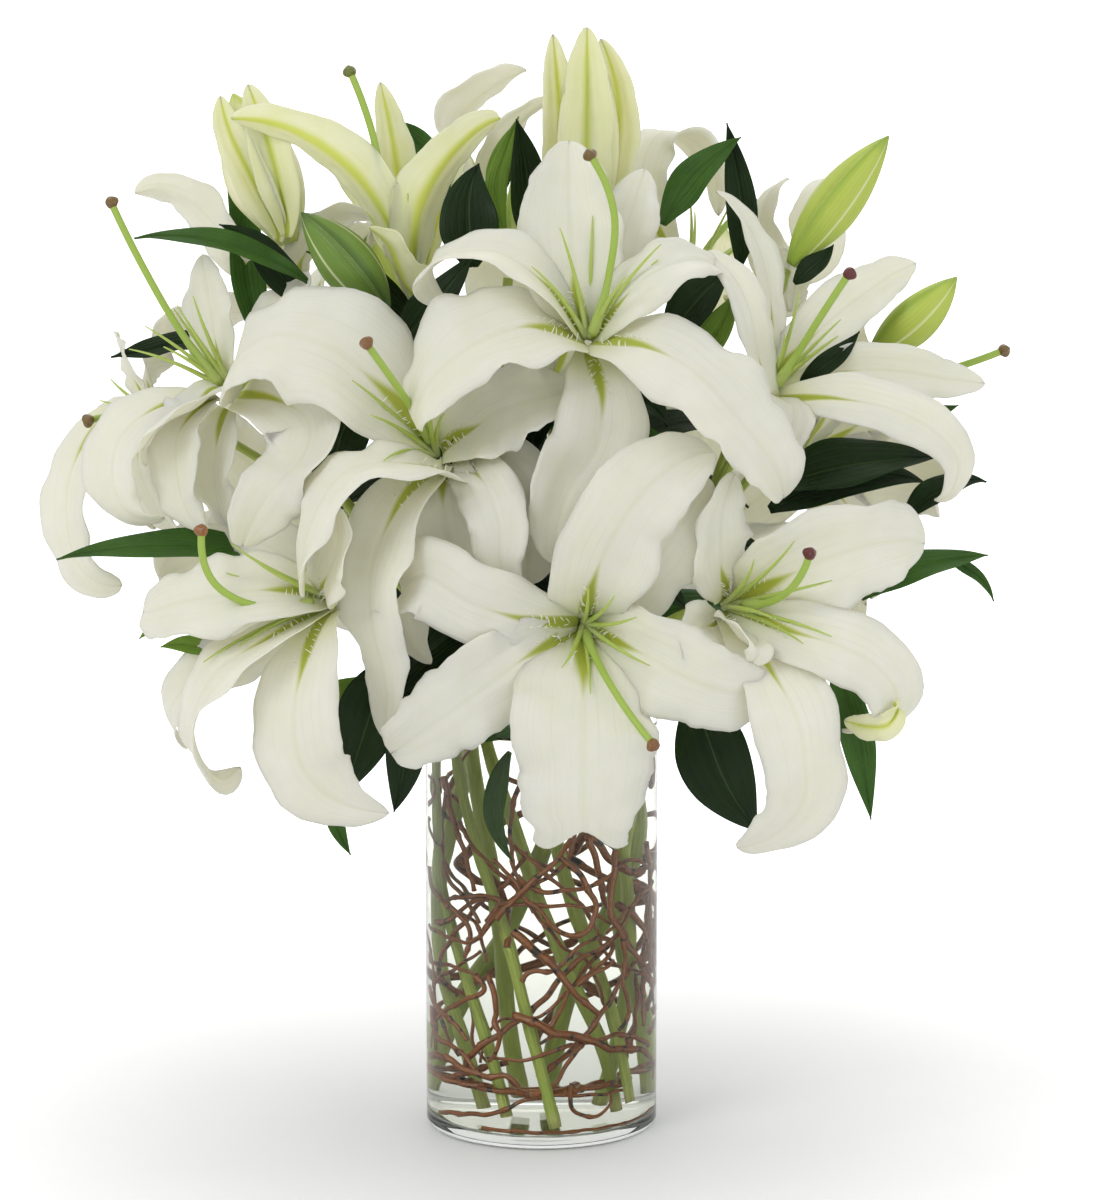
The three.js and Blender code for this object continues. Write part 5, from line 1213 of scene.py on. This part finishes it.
# %% Leaves
# Half width, tone, the way the upper face looks and the midrib.
TO_FRONT = (0, -0.8, 0.5)
LEAVES = {
    "leaf_left_long": (9, "mid", (0, -0.6, 0.8), [[-112, -34, 262], [-140, -36, 266], [-175, -36, 267],
        [-212, -30, 261]]),
    "leaf_left_tip": (7, "dark", (0, -0.6, 0.8), [[-144, 8, 352], [-160, 8, 352], [-175, 4, 349],
        [-190, 0, 347]]),
    "leaf_upper_left": (7, "mid", (0, -0.6, 0.8), [[-102, -8, 380], [-120, -12, 391], [-150, -14, 400],
        [-178, -10, 400]]),
    "leaf_left_upright": (8, "mid", (0.3, -0.9, 0.1), [[-122, 26, 345], [-131, 30, 375],
        [-134, 34, 410], [-143, 36, 446]]),
    "leaf_top_dark": (13, "dark", (0, -0.9, 0.3), [[-30, -20, 388], [-31, -22, 404],
        [-31, -22, 419], [-27, -20, 433]]),
    "leaf_top_left": (8, "mid", (0.4, -0.8, 0.3), [[-42, 20, 417], [-49, 22, 430], [-57, 22, 441],
        [-70, 20, 450]]),
    "leaf_top": (9, "dark", (0.2, -0.9, 0.1), [[-4, 12, 392], [-5, 14, 411], [-7, 14, 431],
        [-11, 12, 451]]),
    "leaf_top_right": (9, "mid", (-0.4, -0.8, 0.3), [[54, 16, 404], [63, 18, 418], [74, 16, 431],
        [88, 12, 443]]),
    "leaf_right_big": (13, "dark", (0, -0.7, 0.7), [[100, -34, 292], [120, -38, 300], [146, -38, 305],
        [172, -32, 306]]),
    "leaf_right": (8, "mid", (0, -0.7, 0.7), [[140, -34, 244], [155, -34, 254], [172, -30, 259],
        [196, -24, 262]]),
    "leaf_right_end": (7, "dark", (0, -0.7, 0.7), [[160, -8, 276], [172, -8, 286], [185, -6, 292],
        [197, -4, 292]]),
    "leaf_vase_right": (16, "dark", (-0.2, -0.9, 0.2), [[66, -56, 205], [72, -64, 188],
        [80, -66, 168], [94, -60, 146]]),
    "leaf_hang_right": (8, "mid", (0.2, -0.9, 0.2), [[126, -56, 224], [132, -58, 203],
        [138, -56, 180], [144, -50, 149]]),
    "leaf_vase_left": (14, "dark", (0, -0.9, 0.3), [[-66, -50, 220], [-72, -58, 203],
        [-79, -60, 182], [-85, -56, 162]]),
    "leaf_back": (13, "dark", (0, 0.7, 0.7), [[0, 62, 262], [-4, 92, 252], [-8, 116, 230],
        [-14, 128, 200]]),
    "leaf_upper_left_dark": (8, "dark", TO_FRONT, [[-100, 0, 366], [-115, 2, 383],
        [-126, 4, 396], [-142, 6, 405]]),
    "leaf_top_pair": (5, "light", TO_FRONT, [[-16, 14, 400], [-20, 14, 420], [-16, 14, 436],
        [-10, 12, 452]]),
    "leaf_top_right_dark": (7, "dark", TO_FRONT, [[88, 22, 385], [89, 20, 408],
        [86, 20, 430], [82, 18, 449]]),
    "leaf_gap_upper_left": (9, "dark", TO_FRONT, [[-62, -24, 352], [-52, -30, 366],
        [-40, -34, 380], [-30, -30, 394]]),
    "leaf_behind_upper_right": (10, "dark", TO_FRONT, [[56, -16, 356], [64, -22, 369],
        [73, -22, 379], [83, -18, 387]]),
    "leaf_behind_upper_right_2": (7, "light", TO_FRONT, [[68, -14, 345], [75, -18, 358],
        [80, -18, 366], [84, -14, 376]]),
    "leaf_right_big_2": (10, "dark", TO_FRONT, [[100, -26, 282], [126, -30, 294], [150, -30, 298],
        [168, -26, 294]]),
    "leaf_right_thin": (3, "mid", TO_FRONT, [[176, -20, 262], [186, -18, 256], [194, -16, 250],
        [200, -14, 240]]),
    "leaf_right_mid": (5, "mid", TO_FRONT, [[152, -4, 319], [163, -6, 322], [174, -6, 323],
        [184, -4, 326]]),
    "leaf_right_up": (5, "dark", TO_FRONT, [[113, -30, 339], [121, -34, 345],
        [129, -34, 351], [138, -32, 361]]),
    "leaf_right_tuft": (5, "dark", TO_FRONT, [[111, -8, 380], [117, -10, 386],
        [123, -10, 391], [128, -8, 397]]),
    "leaf_left_low_light": (9, "light", TO_FRONT, [[-103, -46, 194], [-90, -50, 200],
        [-75, -50, 206], [-61, -46, 211]]),
    "leaf_vase_left_small": (9, "dark", TO_FRONT, [[-56, -56, 207], [-57, -62, 191],
        [-60, -62, 171], [-64, -58, 154]]),
    "leaf_drip": (4, "mid", TO_FRONT, [[-95, -60, 164], [-91, -64, 158], [-89, -62, 149],
        [-83, -58, 135]]),
    "leaf_left_bit": (5, "light", TO_FRONT, [[-146, -36, 238], [-160, -40, 236], [-168, -43, 233],
        [-175, -44, 228]]),
    "leaf_left_bit_2": (5, "light", TO_FRONT, [[-136, -38, 226], [-148, -40, 224],
        [-158, -42, 225], [-166, -42, 224]]),
    "leaf_rim": (8, "mid", TO_FRONT, [[-34, -34, 180], [-29, -38, 186], [-20, -41, 188],
        [-9, -41, 183]]),
    "leaf_in_water": (5, "mid", TO_FRONT, [[-13, -41, 178], [-18, -41, 165], [-20, -40, 149],
        [-12, -41, 129]]),
    "leaf_under_bud": (9, "dark", TO_FRONT, [[-56, -4, 362], [-71, -10, 375],
        [-86, -10, 387], [-103, -8, 394]]),
    "leaf_top_mid": (6, "light", TO_FRONT, [[-22, 18, 412], [-18, 20, 428], [-15, 20, 439],
        [-10, 20, 450]]),
    "leaf_gap_right": (7, "mid", TO_FRONT, [[40, -46, 322], [46, -52, 314], [54, -52, 306],
        [64, -46, 300]]),
    "leaf_gap_left": (13, "dark", TO_FRONT, [[-78, -34, 332], [-86, -42, 318],
        [-90, -42, 304], [-96, -38, 288]]),
    "leaf_gap_centre": (8, "dark", TO_FRONT, [[-20, -40, 250], [-34, -48, 244],
        [-46, -50, 232], [-56, -44, 216]]),
    "leaf_gap_low_left": (10, "dark", TO_FRONT, [[-26, -26, 232], [-42, -36, 222],
        [-56, -42, 211], [-68, -42, 198]]),
    "leaf_gap_throat": (6, "dark", TO_FRONT, [[-30, -46, 286], [-32, -54, 278],
        [-38, -56, 272], [-50, -50, 270]]),
}
CAD_LEAVES = ["leaf_left_long", "leaf_left_tip", "leaf_upper_left", "leaf_left_upright", "leaf_top_dark",
              "leaf_top", "leaf_top_right", "leaf_right_big", "leaf_right", "leaf_right_end",
              "leaf_vase_right", "leaf_hang_right", "leaf_vase_left", "leaf_back"]


def leaf(name, half, facing, points, tone, seed, *nodes):
    """Lance blade: half width rises as a sine to t = 0.4 and falls as a cosine; the two sides make
    a shallow V of 0.3 and their margins wave by an eighth of the half width."""
    rng = np.random.default_rng(seed)
    t = 1 - (1 - np.linspace(0, 1, 34)) ** 1.15
    path = path_through(points, t)
    tangent = unit(np.gradient(path, axis=0))
    side = unit(np.cross(facing, np.subtract(points[-1], points[0])))
    across = unit(side - (tangent @ side)[:, None] * tangent)
    up = np.cross(tangent, across)
    v = np.linspace(-1, 1, 13)[None, :]
    t = t[:, None]
    wide = np.maximum(half * (0.2 + 0.8 * np.sin(np.clip(t / 0.4, 0, 1) * np.pi / 2))
                      * np.cos(np.clip((t - 0.4) / 0.6, 0, 1) * np.pi / 2), 0.25)
    phase = rng.uniform(0, TAU, 2)
    wave = 0.12 * np.abs(v) ** 2 * np.sin(TAU * 1.7 * t + np.where(v < 0, phase[0], phase[1]))
    lift = wide * (0.3 * np.abs(v) + wave) - 0.5 * np.exp(-(v / 0.08) ** 2)
    grid = path[:, None] + (wide * v)[..., None] * across[:, None] + lift[..., None] * up[:, None]
    return seat(add_mesh("blade" + name[4:], *shell(grid, 0.7), leaf_tones[tone]), "leaf_green", *nodes)


for seed, (leaf_name, (half, tone, facing, points)) in enumerate(LEAVES.items()):
    nodes = [leaf_name] if leaf_name in CAD_LEAVES else []
    leaf(leaf_name, half, facing, points, tone, 200 + seed, *nodes)
# The fillers turn by the golden angle from one to the next as they climb from z = 224 to 332.
# Those in front are shorter, so that they stay under the blooms. All but every sixth take the dark
# tone, whose extra darkness is painted shade.
FILLERS = 44
GOLDEN_TURN = 137.5
FILL_LOW, FILL_RISE, FILL_FRONT = 224, 108, 0.62
for k in range(FILLERS):
    rng = np.random.default_rng(300 + k)
    a = np.radians(GOLDEN_TURN * k + 20)
    outward = np.array([np.cos(a), np.sin(a), 0])
    depth = FILL_FRONT if outward[1] < 0 else 1.0
    reach = rng.uniform(84, 118) * depth
    z = FILL_LOW + FILL_RISE * (k + rng.uniform(0, 1)) / FILLERS
    ribs = [outward * 24 + (0, 0, z - 18), outward * reach * 0.5 + (0, 0, z + 2),
            outward * reach * 0.8 + (0, 0, z + 6), outward * reach + (0, 0, z - 4)]
    lean = rng.uniform(-0.9, 0.9)
    leaf(f"leaf_fill_{k + 1:02d}", rng.uniform(10, 14), (lean, -0.7, 0.7),
         [r.tolist() for r in ribs], "mid" if k % 6 == 0 else "dark", 400 + k)
print("leaves:", len(LEAVES) + FILLERS)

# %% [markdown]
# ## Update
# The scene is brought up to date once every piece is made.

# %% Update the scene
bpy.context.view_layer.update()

# %% [markdown]
# ## Studio
# A pale floor that runs on past the horizon and glows with painted light, a big soft lamp high on the
# left, a weaker one on the right, one from behind and a pale sky all round, so that the whites keep
# their shape. The camera stands 1.9 m off and looks 8.5 degrees down.

# %% Floor, lamps and camera
FLOOR_WIDTH = 160
bpy.ops.mesh.primitive_plane_add(size=FLOOR_WIDTH, location=(0, 0, 0))
floor = bpy.context.object
floor.name = "studio_floor"
material, tree, out = new_finish("studio_floor_painted_glow")
speckle = mixed(tree, cloud(tree, 60), linear("#F6F6F6"), linear("#FAFAFA"))
away = put(tree, "ShaderNodeVectorMath", {0: place_in_metres(tree)}, operation="LENGTH").outputs[1]
# The floor adds a painted glow of its own, from almost none under the vase, which leaves a painted shadow
# round it, to nearly white 0.76 m off.
painted_glow = between(tree, away, 0.02, 0.76, 0.02, 0.9)
ray = put(tree, "ShaderNodeLightPath")
seen = sums(tree, "MAXIMUM", ray.outputs["Is Camera Ray"], ray.outputs["Is Transmission Ray"])
shade = put(tree, "ShaderNodeBsdfPrincipled", {
    "Base Color": speckle, "Roughness": 0.7, "Specular IOR Level": 0.2, "Emission Color": (1, 1, 1, 1),
    "Emission Strength": sums(tree, "MULTIPLY", seen, painted_glow)})
tree.links.new(shade.outputs[0], out.inputs[0])
floor.data.materials.append(material)

world = bpy.data.worlds.new("pale_sky")
world.use_nodes = True
tree = world.node_tree
ray = put(tree, "ShaderNodeLightPath")
seen = sums(tree, "MAXIMUM", ray.outputs["Is Camera Ray"], ray.outputs["Is Transmission Ray"])
# The sky lights the flowers at 0.7 and is seen, straight or through glass, at full white.
strength = put(tree, "ShaderNodeMapRange", {0: seen, 3: 0.70, 4: 1.0}).outputs[0]
background = tree.nodes["Background"]
background.inputs[0].default_value = (1, 1, 1, 1)
tree.links.new(strength, background.inputs[1])
bpy.context.scene.world = world
bpy.context.scene.view_settings.view_transform = "Standard"


def lamp(name, size, power, place, aim):
    """Square soft lamp turned to face its aim."""
    light = bpy.data.lights.new(name, "AREA")
    light.size = size
    light.energy = power
    body = bpy.data.objects.new(name, light)
    body.location = place
    body.rotation_euler = (Vector(aim) - Vector(place)).to_track_quat("-Z", "Y").to_euler()
    bpy.context.scene.collection.objects.link(body)
    return body


middle = (0, 0, 0.27)
lamp("key_left", 0.9, 12, (-1.3, -1.5, 1.6), middle)
lamp("fill_right", 1.4, 5, (1.7, -1.2, 0.9), middle)
lamp("top_back", 1.2, 7, (0.3, 1.1, 1.9), middle)

# A long lens from well back keeps the sides of the vase nearly upright.
LENS, LOOK_DOWN = 139.93, 8.5
STAND = (0.0034, -1.8791, 0.5193)
camera = bpy.data.cameras.new("studio_camera")
camera.sensor_fit = "HORIZONTAL"
camera.sensor_width = 36
camera.lens = LENS
camera.clip_end = 300
view = bpy.data.objects.new("studio_camera", camera)
view.location = STAND
view.rotation_euler = (np.radians(90 - LOOK_DOWN), 0, 0)
bpy.context.scene.collection.objects.link(view)
bpy.context.scene.camera = view
print("lamps 3, camera at", tuple(round(c, 3) for c in view.location))
